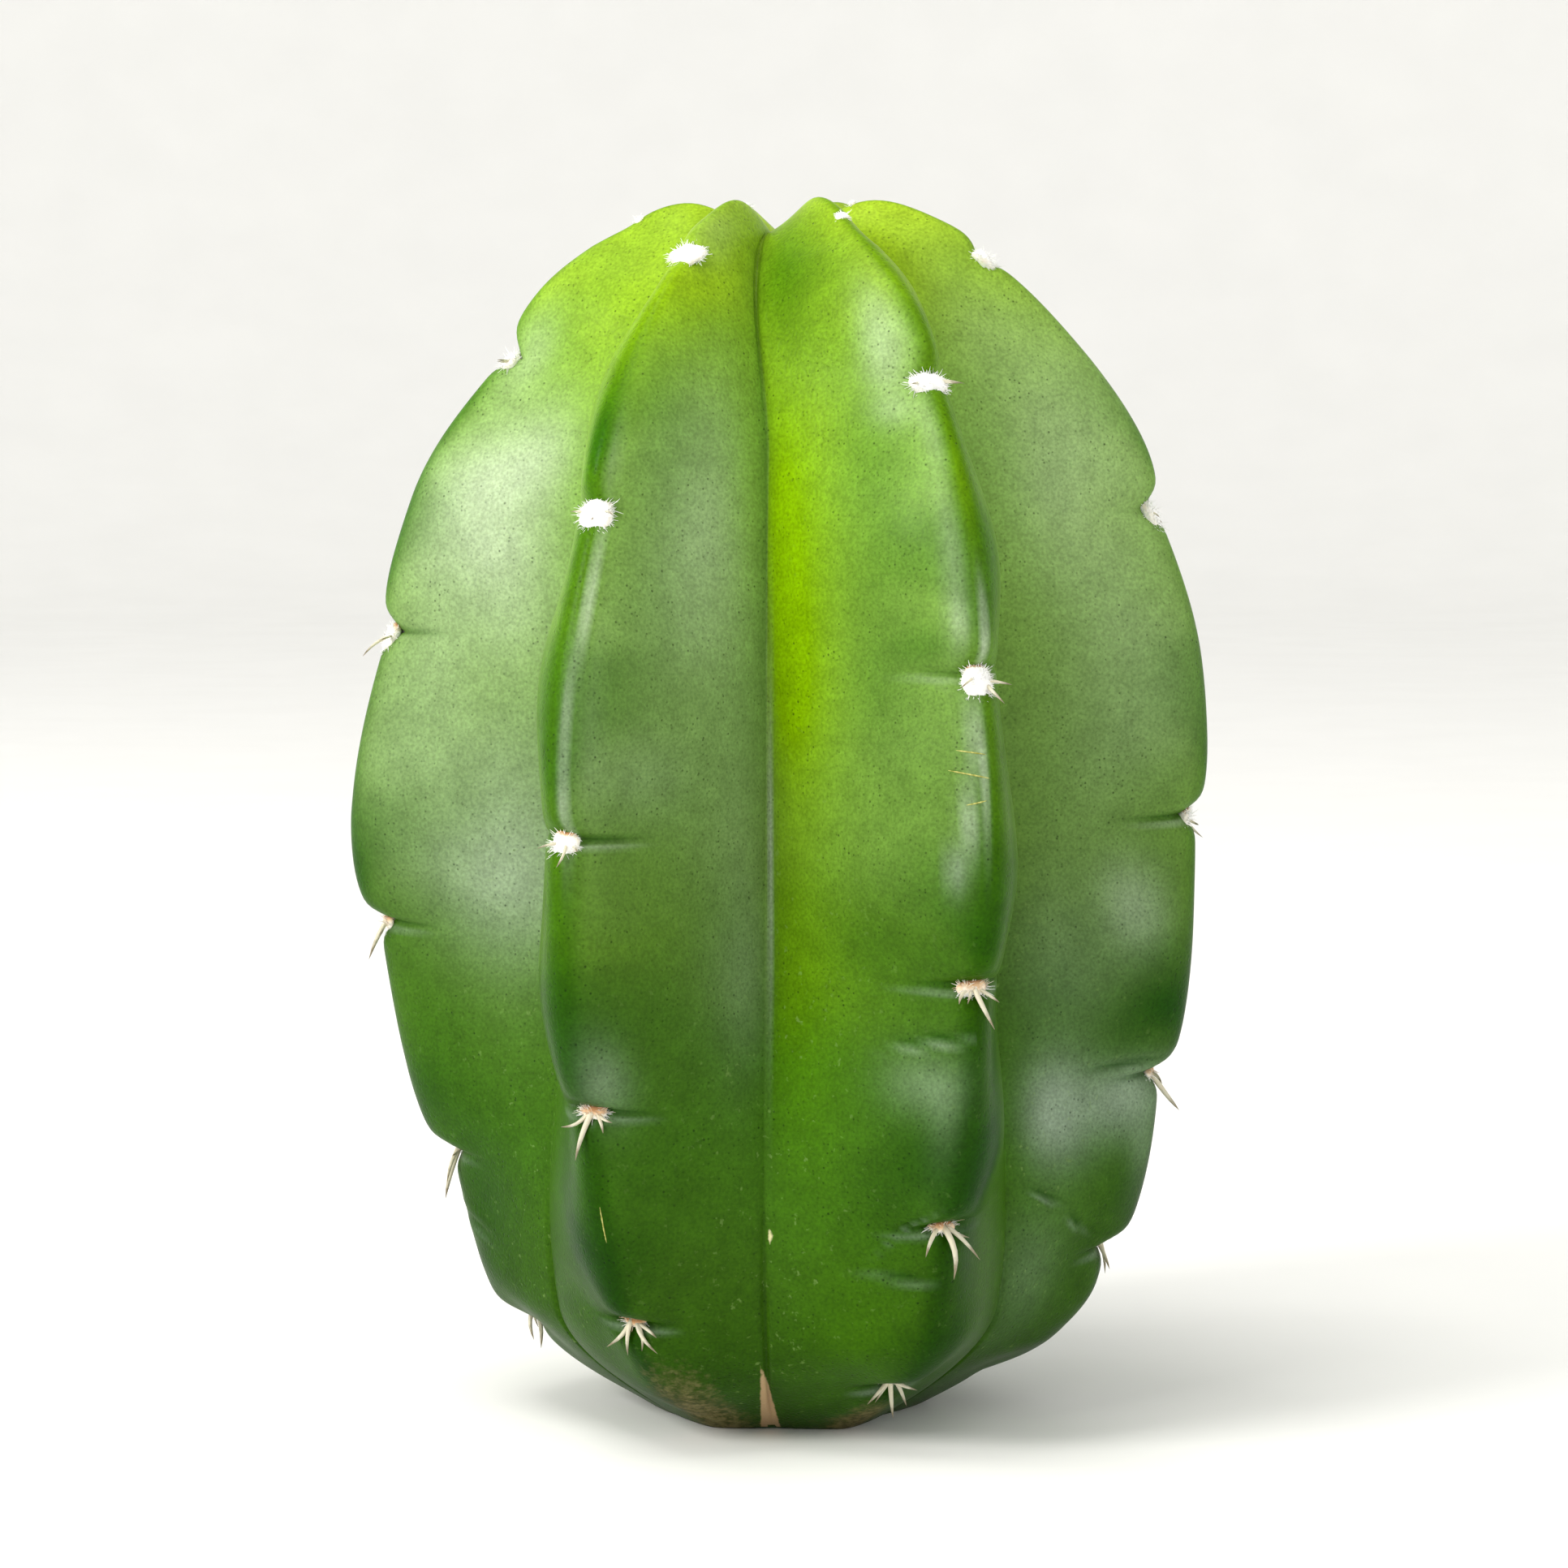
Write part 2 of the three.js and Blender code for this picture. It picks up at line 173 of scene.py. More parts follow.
def groove_outline(height):
    """Radius and height of the groove's line: a share of the crest's radius, about half at the
    middle and nearly all of it at the foot, and a little lower at the top."""
    radius = crest_outline(height)[0]
    share = GROOVE_SHARE + GROOVE_SHARE_TOP * ease(height, 40, 70)
    share = share + GROOVE_SHARE_FOOT * (1 - ease(height, 0, WIDEST_LEVEL))
    squeeze = (GROOVE_TOP - WIDEST_LEVEL) / (CREST_TOP - WIDEST_LEVEL)
    squeezed = WIDEST_LEVEL + (height - WIDEST_LEVEL) * squeeze
    lowered = np.where(height > WIDEST_LEVEL, squeezed, height)
    return radius * share, sink_to_apex(radius * share, lowered, GROOVE_TOP)


def height_of_level(level, lift=0.0, drop=0.0):
    """Height of a level between the tabled ones, moved by the rib's lift, and by its drop near
    the foot. Above the first level the crest's radius runs evenly in to the axis."""
    height = np.interp(level, LEVELS, LEVEL_HEIGHTS)
    cap = np.clip(level - (FIRST_LEVEL - 1), 0, 1)
    capped = CREST_TOP - (CREST_TOP - LEVEL_HEIGHTS[0]) * cap**CREST_SHOULDER_POWER
    height = np.where(level < FIRST_LEVEL, capped, height)
    lifted = lift * ease(height, *LIFT_GROWS) * (1 - ease(height, *LIFT_FADES))
    dropped = drop * ease(height, *DROP_GROWS) * (1 - ease(height, *LIFT_GROWS))
    return height + lifted - dropped


def lobe_profile(rib, across, level):
    """How far out a lobe stands, 0 to 1: it rises slowly from one areole and turns over a
    rounded lip to the next, crisply at the crest and as a soft wave further down the flank."""
    steps = (level - RIBS["first"][rib]) / 2
    part = steps - np.floor(steps)
    age = ease(level, *LOBE_AGES)
    peak = LOBE_PEAK_YOUNG + (LOBE_PEAK_OLD - LOBE_PEAK_YOUNG) * age
    rise = np.maximum((ease(part, LOBE_START, peak) - LOBE_OFFSET) / (1 - LOBE_OFFSET), 0)
    over = np.clip((part - peak) / (1 - peak), 0, 1)
    crisp = np.where(part < peak, rise, np.sqrt(1 - over**LOBE_LIP_POWER))
    soft = 0.5 - 0.5 * np.cos(2 * np.pi * part**LOBE_WAVE_POWER)
    return soft + (crisp - soft) * bell(across, LOBE_WIDTH_YOUNG + LOBE_WIDTH_GAIN * age)


def crest_twist(rib, side, across, height):
    """Degrees that a place is turned from an even spread between the crests: the crest's twist
    near the growing point, and the groove's own turn, which grows as across squared."""
    beside = (rib + side) % 6
    groove = np.where(side > 0, rib, beside)
    slant = RIBS["groove"][groove] + RIBS["groove_top"][groove] * ease(height, *GROOVE_TURN_GROWS)
    return shared("twist", rib, side, across) * ease(height, *TWIST_GROWS) + slant * across**2


def skin_point(rib, side, across, level):
    """Points of the skin in millimetres, and the outline height of each. Across runs from 0 on
    the rib's crest to 1 in the groove on that side, and the flank between them is a hollow
    curve with a rounded crest. Lobes and notches move it along the crest outline's normal."""
    lift, drop, shoulder, upper, foot = (
        shared(key, rib, side, across) for key in ("lift", "drop", "shoulder", "upper", "foot")
    )
    height = height_of_level(level, lift, drop)
    crest_r, crest_z = crest_outline(height, shoulder, upper, foot)
    groove_r, groove_z = groove_outline(height)

    higher = np.minimum(height + NORMAL_STEP, CREST_TOP)
    lower = np.maximum(height - NORMAL_STEP, 0)
    high_r, high_z = crest_outline(higher, shoulder, upper, foot)
    low_r, low_z = crest_outline(lower, shoulder, upper, foot)
    run = np.hypot(high_r - low_r, high_z - low_z)
    normal_r, normal_z = (high_z - low_z) / run, (low_r - high_r) / run

    profile = lobe_profile(rib, across, level)
    steps = np.round((level - RIBS["first"][rib]) / 2)
    areole_level = RIBS["first"][rib] + 2 * steps
    above_areole = height - height_of_level(areole_level, lift, drop)
    notch = (areole_level <= LAST_AREOLE_LEVEL) * bell(above_areole, NOTCH_HALF)
    grown = ease(CREST_TOP - height, *LOBE_TOP_FADES) * ease(height, *LOBE_FOOT_FADES)
    lobe = LOBE_SWELL * (profile - LOBE_REST) * bell(across, LOBE_SPREAD)
    out = grown * (lobe - NOTCH_DEPTH * notch * bell(across, NOTCH_SPREAD))

    rounding = CREST_ROUND + LOBE_ROUND * profile * grown
    bent = (np.hypot(across, rounding) - rounding) / (np.hypot(1, rounding) - rounding)
    share = (1 - bent) / (1 + FLANK_HOLLOW * bent)
    radius = groove_r + (crest_r - groove_r) * share + out * normal_r
    z = groove_z + (crest_z - groove_z) * share + out * normal_z

    beside = (rib + side) % 6
    apart = ((RIBS["azimuth"][beside] - RIBS["azimuth"][rib]) * side) % 360
    twist = crest_twist(rib, side, across, height)
    turn = np.radians(RIBS["azimuth"][rib] + side * across * apart / 2 + twist)
    points = np.stack([radius * np.sin(turn), -radius * np.cos(turn), np.maximum(z, 0)], axis=-1)
    return points, height


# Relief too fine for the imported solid: slow unevenness of the flesh, a crease that runs
# from each older areole out over both flanks, and a fold along the groove. Lengths are in
# mm, places across in shares of the flank, and ages in levels.

UNEVEN_WAVES = 26
UNEVEN_DEPTH = 0.13
UNEVEN_LENGTHS = (7.0, 22.0)
CREASE_DEPTH = 0.17
CREASE_HALF = 0.24
CREASE_STARTS = (0.03, 0.09)
CREASE_FADES = (0.13, 0.39)
CREASE_SLOPE = 0.2
CREASE_AGES = (1.5, 4.0)
GROOVE_FOLD = 0.22
GROOVE_FOLD_HALF = 0.02
FOLD_TOP_GROWS = (60, 70)
FOLD_FOOT_FADES = (8, 20)
RELIEF_GROWS = (0.3, 3.0)

# Single wrinkles: rib, side, across, height in mm, reach across, slope in mm over the flank,
# depth and half width in mm

WRINKLES = [
    (RIGHT_FRONT, -1, 0.17, 26.9, 0.15, -3.0, 0.26, 0.42),
    (RIGHT_FRONT, -1, 0.20, 15.2, 0.09, -12.0, 0.20, 0.30),
    (RIGHT_FRONT, -1, 0.22, 12.0, 0.14, 1.0, 0.20, 0.30),
    (RIGHT, -1, 0.26, 22.6, 0.16, -1.5, 0.26, 0.34),
    (RIGHT, -1, 0.72, 14.9, 0.10, 5.0, 0.18, 0.30),
    (RIGHT, -1, 0.45, 12.8, 0.10, 6.0, 0.18, 0.30),
    (LEFT, 1, 0.20, 12.0, 0.14, -4.0, 0.18, 0.32),
    (RIGHT_BACK, 1, 0.22, 27.5, 0.14, 4.0, 0.26, 0.42),
    (LEFT_BACK, -1, 0.20, 19.0, 0.14, -5.0, 0.24, 0.38),
    (LEFT_BACK, 1, 0.26, 9.5, 0.12, 4.0, 0.20, 0.32),
]


def waves(points, count, shortest, longest, seed):
    """Uneven ground from -1 to 1: a mean of plane waves that run in all directions, with
    random phases and lengths between the shortest and the longest."""
    random = np.random.default_rng(seed)
    heading = unit(random.normal(size=(count, 3)))
    length = np.exp(random.uniform(np.log(shortest), np.log(longest), count))
    phase = random.uniform(0, 2 * np.pi, count)
    weight = length / length.sum()
    ground = np.sin(points @ (heading * (2 * np.pi / length)[:, None]).T + phase) @ weight
    return ground * np.sqrt(count) / 2


def creases(rib, side, across, level, height):
    """How much of a crease or wrinkle runs through each place, where shade is painted, and of the
    pale edge just below it, where a highlight is painted, both from 0 to 1, and the depth in
    millimetres. A crease starts beside its areole and fades out down the flank."""
    areole_level = RIBS["first"][rib] + 2 * np.round((level - RIBS["first"][rib]) / 2)
    lift, drop = (shared(key, rib, side, across) for key in ("lift", "drop"))
    above = height - height_of_level(areole_level, lift, drop) - CREASE_SLOPE * side * across
    old = ease(areole_level, *CREASE_AGES) * (areole_level <= LAST_AREOLE_LEVEL)
    fade = ease(across, *CREASE_STARTS) * (1 - ease(across, *CREASE_FADES))
    crease = old * fade * bell(above, CREASE_HALF)
    depth = CREASE_DEPTH * crease
    edge_highlight = old * fade * bell(above + 1.9 * CREASE_HALF, 0.8 * CREASE_HALF)

    for its_rib, its_side, centre, its_height, reach, slope, its_depth, half in WRINKLES:
        here = (rib == its_rib) & (side == its_side)
        off = height - its_height - slope * (across - centre)
        swell = 0.7 * bell(off - 1.9 * half, 1.1 * half) + 0.4 * bell(off + 2.0 * half, 1.2 * half)
        fade = here * bell(across - centre, reach)
        crease = np.maximum(crease, fade * bell(off + 0.3 * half, 0.7 * half))
        depth = depth + its_depth * fade * (bell(off, half) - swell)
        edge_highlight = np.maximum(edge_highlight, fade * bell(off + 1.4 * half, 0.6 * half))
    return crease, edge_highlight, depth


def relief(points, across, height, crease_depth):
    """Millimetres to add outwards for unevenness, creases, and the fold along a groove, which
    is sharp near the top and the foot alone."""
    inside = ease(height, *RELIEF_GROWS) * ease(CREST_TOP - height, *RELIEF_GROWS)
    uneven = UNEVEN_DEPTH * waves(points, UNEVEN_WAVES, *UNEVEN_LENGTHS, RANDOM_SEED)
    fold = ease(height, *FOLD_TOP_GROWS) + 1 - ease(height, *FOLD_FOOT_FADES)
    folded = GROOVE_FOLD * fold * bell(1 - across, GROOVE_FOLD_HALF)
    return inside * (uneven - crease_depth - folded)


# Meshes


def add_piece(name, points, faces, material, slot, **values):
    """One mesh at the origin from points in millimetres, lists of faces, and one array per
    point for each named value that its material reads."""
    mesh = bpy.data.meshes.new(name)
    mesh.from_pydata((points * MM).tolist(), [], [face for part in faces for face in part.tolist()])
    for key, value in values.items():
        layer = mesh.attributes.new(key, "FLOAT", "POINT")
        layer.data.foreach_set("value", np.ascontiguousarray(value, dtype=np.float32).ravel())
    mesh.shade_smooth()
    mesh.materials.append(material)
    piece = bpy.data.objects.new(name, mesh)
    bpy.context.scene.collection.objects.link(piece)
    if slot:
        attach(piece, "root")
    return piece


def ring_faces(rows, columns):
    """Four-sided faces between rows of points whose columns close into a ring."""
    number = np.arange(rows * columns).reshape(rows, columns)
    right = np.roll(number, -1, axis=1)
    return np.stack([number[:-1], number[1:], right[1:], right[:-1]], axis=-1).reshape(-1, 4)


def fan_faces(centre, ring):
    """Triangles from one centre point to a ring of points."""
    return np.stack([np.full_like(ring, centre), ring, np.roll(ring, -1)], axis=-1)


def tapered_tubes(paths, radii, sides):
    """Many tubes at once: at each step of each path a ring of points lies square to it at
    that step's radius, and one point closes each end. Returns points and lists of faces."""
    count, steps = radii.shape
    along = unit(np.gradient(paths, axis=1))
    reference = np.eye(3)[np.argmin(np.abs(along[:, 0]), axis=-1)][:, None]
    aside = unit(np.cross(along, reference))
    other = np.cross(along, aside)
    turn = 2 * np.pi * np.arange(sides) / sides
    circle = aside[:, :, None] * np.cos(turn)[:, None] + other[:, :, None] * np.sin(turn)[:, None]
    rings = (paths[:, :, None] + radii[:, :, None, None] * circle).reshape(count, steps * sides, 3)
    points = np.concatenate([rings, paths[:, :1], paths[:, -1:]], axis=1)

    number = np.arange(steps * sides).reshape(steps, sides)
    after = np.roll(number, -1, axis=1)
    quads = np.stack([number[:-1], after[:-1], after[1:], number[1:]], axis=-1).reshape(-1, 4)
    root = fan_faces(steps * sides, number[0][::-1])
    tip = fan_faces(steps * sides + 1, number[-1])
    start = (np.arange(count) * points.shape[1])[:, None, None]
    faces = [(part[None] + start).reshape(-1, part.shape[1]) for part in (quads, root, tip)]
    return points.reshape(-1, 3), faces


# Finishes


def srgb(code):
    """A hex colour such as #8fbf1c as linear red, green, blue and alpha."""
    parts = [int(code[i : i + 2], 16) / 255 for i in (1, 3, 5)]
    return [p / 12.92 if p <= 0.04045 else ((p + 0.055) / 1.055) ** 2.4 for p in parts] + [1.0]


def add_node(tree, kind, inputs=(), stops=(), **settings):
    """Adds a node with its settings, its colour stops, and its inputs: a socket is linked and
    anything else is set as the input's value."""
    made = tree.nodes.new(kind)
    for key, value in settings.items():
        setattr(made, key, value)
    for key, value in dict(inputs).items():
        if isinstance(value, bpy.types.NodeSocket):
            tree.links.new(value, made.inputs[key])
        else:
            made.inputs[key].default_value = value
    for i, (place, colour) in enumerate(stops):
        stop = made.color_ramp.elements[i] if i < 2 else made.color_ramp.elements.new(place)
        stop.position = place
        stop.color = srgb(colour)
    return made


def new_material(name):
    """A named material, its empty node tree, and the place on the object in metres."""
    material = bpy.data.materials.new(name)
    material.use_nodes = True
    tree = material.node_tree
    tree.nodes.clear()
    return material, tree, add_node(tree, "ShaderNodeTexCoord").outputs["Object"]


def attribute(tree, name):
    """The value that the piece's points carry under a name."""
    return add_node(tree, "ShaderNodeAttribute", attribute_name=name).outputs["Fac"]


def noise(tree, place, size, detail, roughness=0.5):
    """Cloudy noise of a size in metres, for the most part between 0.3 and 0.7."""
    inputs = {"Vector": place, "Scale": 1 / size, "Detail": detail, "Roughness": roughness}
    return add_node(tree, "ShaderNodeTexNoise", inputs).outputs["Fac"]


def mapped(tree, value, start, end, low=0.0, high=1.0, **settings):
    """Low where the value is at start, high where it is at end, and even between them."""
    inputs = {0: value, 1: start, 2: end, 3: low, 4: high}
    return add_node(tree, "ShaderNodeMapRange", inputs, **settings).outputs[0]


def times(tree, value, *shares, **settings):
    """The value times every share."""
    for share in shares:
        inputs = {0: value, 1: share}
        made = add_node(tree, "ShaderNodeMath", inputs, operation="MULTIPLY", **settings)
        value = made.outputs[0]
    return value


def plus(tree, value, *terms):
    """The value plus, for every term, its share times its amount."""
    for share, amount in terms:
        inputs = {0: share, 1: amount, 2: value}
        value = add_node(tree, "ShaderNodeMath", inputs, operation="MULTIPLY_ADD").outputs[0]
    return value


def coloured(tree, value, stops):
    """The colour at the value's place among the stops."""
    return add_node(tree, "ShaderNodeValToRGB", {0: value}, stops=stops).outputs["Color"]


def layered(tree, colour, *layers):
    """The colour with others laid over it in turn, each by its own share."""
    for share, above in layers:
        inputs = {0: share, 6: colour, 7: above}
        colour = add_node(tree, "ShaderNodeMix", inputs, data_type="RGBA").outputs[2]
    return colour


def add_surface(tree, inputs, relief_height=None, strength=0.0, depth=0.0):
    """Ends a material with its surface, which may have a fine relief of a depth in metres."""
    if relief_height is not None:
        bump = {"Height": relief_height, "Strength": strength, "Distance": depth}
        inputs = inputs | {"Normal": add_node(tree, "ShaderNodeBump", bump).outputs[0]}
    surface = add_node(tree, "ShaderNodeBsdfPrincipled", inputs)
    output = add_node(tree, "ShaderNodeOutputMaterial")
    tree.links.new(surface.outputs[0], output.inputs["Surface"])


# Skin colours from the foot, at 0, to the growing point, at 1. The flank and crest colours darken
# towards the foot, partly as older skin and partly as painted shade. The first two stops of a list
# are its ends. Healed skin goes by the height in metres, and cork by its grain.

FLANK_COLOURS = [
    (0.0, "#224400"),
    (1.0, "#9cbc25"),
    (0.15, "#33570c"),
    (0.24, "#375f10"),
    (0.34, "#3c6116"),
    (0.43, "#4e7220"),
    (0.54, "#618339"),
    (0.64, "#6c903e"),
    (0.78, "#759c42"),
    (0.89, "#77a029"),
]
CREST_COLOURS = [
    (0.0, "#173900"),
    (1.0, "#7ea209"),
    (0.20, "#214700"),
    (0.34, "#264c00"),
    (0.44, "#376002"),
    (0.60, "#4c7506"),
    (0.80, "#4e7a00"),
    (0.90, "#5e8903"),
]
YOUNG_COLOURS = [
    (0.0, "#366200"),
    (1.0, "#93b30d"),
    (0.30, "#427000"),
    (0.5, "#699000"),
    (0.8, "#77a200"),
]
# Deep green, which also lays painted shade
DEEP_AND_SHADE_COLOURS = [
    (0.0, "#103000"),
    (1.0, "#3b6c00"),
    (0.35, "#174200"),
    (0.55, "#225000"),
    (0.8, "#2d6000"),
]
# Wax bloom, which also lays painted sheens and highlights
BLOOM_AND_SHEEN_COLOURS = [
    (0.0, "#798a77"),
    (1.0, "#acc295"),
    (0.3, "#83967e"),
    (0.7, "#a5b794"),
]
CORK_COLOURS = [(0.35, "#474221"), (0.65, "#7d734c")]
HEALED_COLOURS = [(0.006, "#b19470"), (0.012, "#cec998")]
FLECK_COLOUR = "#7d9b54"

# Sizes of the skin's patterns in metres

CLOUD_SIZE = 0.009
DRIFT_SIZE = 0.003
MOTTLE_SIZE = 0.0015
FLECK_SPACING = 0.00055
GRAIN_SIZE = 0.0005
RIPPLE_SPACING = 0.00045
PORE_SPACING = 0.0003
FINE_GRAIN_SIZE = 0.0002
GRAIN_DEPTH = 0.00005


def waxy_green_skin():
    """Living succulent skin under a thin wax: light soaks a little way in, the wax gives a faint
    soft gloss, and fine darker pores show in it. Young skin is yellow-green, and the skin darkens
    towards the foot, partly as older skin and partly as painted shade. Crests are darker than the
    flanks, deep green patches are partly darker skin and partly painted shade, shade is painted on
    the lips of the lobes and in creases, a pale wax bloom with painted sheens and highlights lies
    in places, and the cut end is corky."""
    material, tree, place = new_material("waxy_green_skin")
    height = add_node(tree, "ShaderNodeSeparateXYZ", {0: place}).outputs["Z"]
    across, youth, deep_and_shade, bloom_and_sheen, mark, cork, ripple = (
        attribute(tree, name)
        for name in ("across", "youth", "deep_and_shade", "bloom_and_sheen", "mark", "cork", "ripple")
    )

    # Cloudy variation 9 mm across and grain of 0.5 mm. The clouds also shift the heights at
    # which the colours change.
    cloud = noise(tree, place, CLOUD_SIZE, 1.5)
    grain = noise(tree, place, GRAIN_SIZE, 2.0, 0.6)
    drift = plus(tree, -0.005, (cloud, 0.010))
    up = mapped(tree, plus(tree, drift, (height, 1.0)), 0.0, 0.078)

    # Colours from the foot at 0 to the growing point at 1, for five states of the skin: flank,
    # crest, young, deep green that also lays painted shade, and wax bloom that also lays painted
    # sheens and highlights
    flank, crest, young, deep_and_shade_colour, bloom_and_sheen_colour = (
        coloured(tree, up, stops)
        for stops in (FLANK_COLOURS, CREST_COLOURS, YOUNG_COLOURS, DEEP_AND_SHADE_COLOURS, BLOOM_AND_SHEEN_COLOURS)
    )
    near_crest = mapped(tree, across, 0.02, 0.13, 1.0, 0.0, interpolation_type="SMOOTHSTEP")
    bloom_and_sheen = times(tree, bloom_and_sheen, mapped(tree, cloud, 0.3, 0.7, 0.8, 1.2), use_clamp=True)
    layers = (near_crest, crest), (youth, young), (bloom_and_sheen, bloom_and_sheen_colour), (deep_and_shade, deep_and_shade_colour)
    colour = layered(tree, flank, *layers)

    # Fine grain 0.2 mm wide, as light and dark
    fine = noise(tree, place, FINE_GRAIN_SIZE, 1.0)
    grained = mapped(tree, fine, 0.3, 0.7, 0.83, 1.16)

    # Dark pores 0.3 mm apart, each by its own amount, in drifts 3 mm wide
    drifts = mapped(tree, noise(tree, place, DRIFT_SIZE, 2.0), 0.35, 0.65, 0.25, 1.0)
    spacing = {"Vector": place, "Scale": 1 / PORE_SPACING, "Randomness": 1.0}
    pores = add_node(tree, "ShaderNodeTexVoronoi", spacing)
    pick = add_node(tree, "ShaderNodeSeparateColor", {0: pores.outputs["Color"]}).outputs[0]
    dot = mapped(tree, pores.outputs["Distance"], 0.10, 0.32, 1.0, 0.0)
    dot = times(tree, dot, mapped(tree, pick, 0.25, 0.9), drifts)
    dotted = plus(tree, 1.0, (dot, -0.7))

    # Soft mottling 1.5 mm wide
    mottle = mapped(tree, noise(tree, place, MOTTLE_SIZE, 2.0), 0.3, 0.7, 0.90, 1.10)
    shaded = {0: colour, "Scale": times(tree, grained, dotted, mottle)}
    colour = add_node(tree, "ShaderNodeVectorMath", shaded, operation="SCALE").outputs[0]

    # Pale irregular flecks 0.2 mm wide on the lower half, most of them towards the grooves
    fleck = mapped(tree, noise(tree, place, FLECK_SPACING, 2.0, 0.7), 0.64, 0.74)
    low = mapped(tree, height, 0.026, 0.048, 0.40, 0.05)
    inward = mapped(tree, across, 0.25, 0.8, 0.3, 1.0)
    fleck = times(tree, fleck, low, inward)

    # Corky brown blotches at the foot, and pale healed marks with crisp edges, tan at the foot
    corky = mapped(tree, plus(tree, cork, (grain, 0.6)), 0.62, 1.1, 0.0, 0.85)
    brown = coloured(tree, grain, CORK_COLOURS)
    marked = mapped(tree, plus(tree, mark, (grain, 0.4)), 0.62, 0.80)
    healed = coloured(tree, height, HEALED_COLOURS)
    layers = (fleck, srgb(FLECK_COLOUR)), (corky, brown), (marked, healed)
    colour = layered(tree, colour, *layers)

    # Skin under the bloom and its painted sheens, corky skin and coarse skin are duller than clean
    # wax, whose roughness is 0.30
    dull = plus(tree, 0.30, (bloom_and_sheen, 0.12), (corky, 0.3), (fine, 0.10))

    # Skin grain and pores about 0.02 mm deep, and fine ripples across the crest 0.45 mm apart,
    # which are drawn out sideways
    stretch = {"Vector": place, "Scale": (0.3, 0.3, 1.0)}
    stretched = add_node(tree, "ShaderNodeMapping", stretch).outputs[0]
    rippled = times(tree, noise(tree, stretched, RIPPLE_SPACING, 1.0), ripple)
    ground = plus(tree, fine, (dot, -1.1), (rippled, 2.5))

    # Wax and plant flesh are near water in IOR. Specular and coat are low, because the soft sheens
    # and highlights are painted in the bloom colour.
    look = {
        "Base Color": colour,
        "Roughness": dull,
        "IOR": 1.40,
        "Specular IOR Level": 0.05,
        "Subsurface Weight": 0.1,
        "Subsurface Radius": (0.6, 1.0, 0.25),
        "Subsurface Scale": 0.0006,
        "Coat Weight": 0.03,
        "Coat Roughness": 0.2,
        "Coat IOR": 1.4,
    }
    add_surface(tree, look, ground, 0.5, GRAIN_DEPTH)
    return material


def dry_scar():
    """Dry healed skin: a thin pale yellow cork with grains of 0.2 mm, matt and slightly
    uneven."""
    material, tree, place = new_material("dry_scar")
    fleck = noise(tree, place, 0.0002, 2.0)
    colour = coloured(tree, fleck, [(0.35, "#8b8d35"), (0.65, "#c2be6e")])
    look = {"Base Color": colour, "Roughness": 0.7, "IOR": 1.45}
    add_surface(tree, look, fleck, 0.4, 0.00003)
    return material


def matted_areole_wool():
    """Short matted plant hairs in tangles of 0.4 mm: bright matt white when fresh, and tan
    where old hairs wear away."""
    material, tree, place = new_material("matted_areole_wool")
    tangle = noise(tree, place, 0.0004, 3.0)
    worn = mapped(tree, plus(tree, attribute(tree, "worn"), (tangle, 0.5)), 0.35, 1.1)
    stops = [(0.0, "#fffffc"), (1.0, "#c08a5c"), (0.35, "#f8f0e0"), (0.7, "#e6c49e")]
    look = {
        "Base Color": coloured(tree, worn, stops),
        "Roughness": 0.9,
        "Specular IOR Level": 0.3,
        "Subsurface Weight": 0.25,
        "Subsurface Radius": (1.0, 1.0, 0.9),
        "Subsurface Scale": 0.0004,
        "Sheen Weight": 0.3,
        "Sheen Roughness": 0.5,
    }
    add_surface(tree, look, tangle, 0.4, 0.00008)
    return material


def ivory_spine():
    """Horn-like dead spine: tan at the root, then ivory, greyer along its length, with a
    dull brown point, in flecks of 0.3 mm. Its IOR is that of dry plant fibre."""
    material, tree, place = new_material("ivory_spine")
    fleck = noise(tree, place, 0.0003, 2.0)
    along = plus(tree, attribute(tree, "along"), (fleck, 0.3))
    stops = [(0.0, "#caa47e"), (1.0, "#827760"), (0.25, "#dbd3ba"), (0.75, "#ccc7b1")]
    look = {
        "Base Color": coloured(tree, along, stops),
        "Roughness": 0.45,
        "IOR": 1.54,
        "Subsurface Weight": 0.15,
        "Subsurface Radius": (1.0, 0.8, 0.5),
        "Subsurface Scale": 0.0003,
    }
    add_surface(tree, look, fleck, 0.3, 0.00003)
    return material


def pale_paper():
    """Matt pale backdrop paper with cloudy fibres 20 mm across."""
    material, tree, place = new_material("pale_paper")
    fibre = noise(tree, place, 0.02, 3.0)
    colour = coloured(tree, fibre, [(0.3, "#fafaf9"), (0.7, "#fdfdfc")])
    add_surface(tree, {"Base Color": colour, "Roughness": 0.85})
    return material


# Skin

HALF_COLUMNS = 29
COLUMN_CROWDING = 1.5
SKIN_ROWS = 280
CROWDED_LEVELS = slice(3, -2)
CROWDING = 1.4
CROWDING_HALF = 1.3
BASE_RINGS = (0.85, 0.6, 0.3)

# How strongly shade is painted on the lips of lobes, up to a height in mm, how strongly shade is
# painted in creases and a highlight on the edges below them, and how corky the skin near the cut is

LIP_SHADE = 0.5
LIP_SHADE_TOP = 72
CREASE_SHADE = 0.75
CREASE_EDGE_HIGHLIGHT = 0.55
CUT_CORK = 0.35
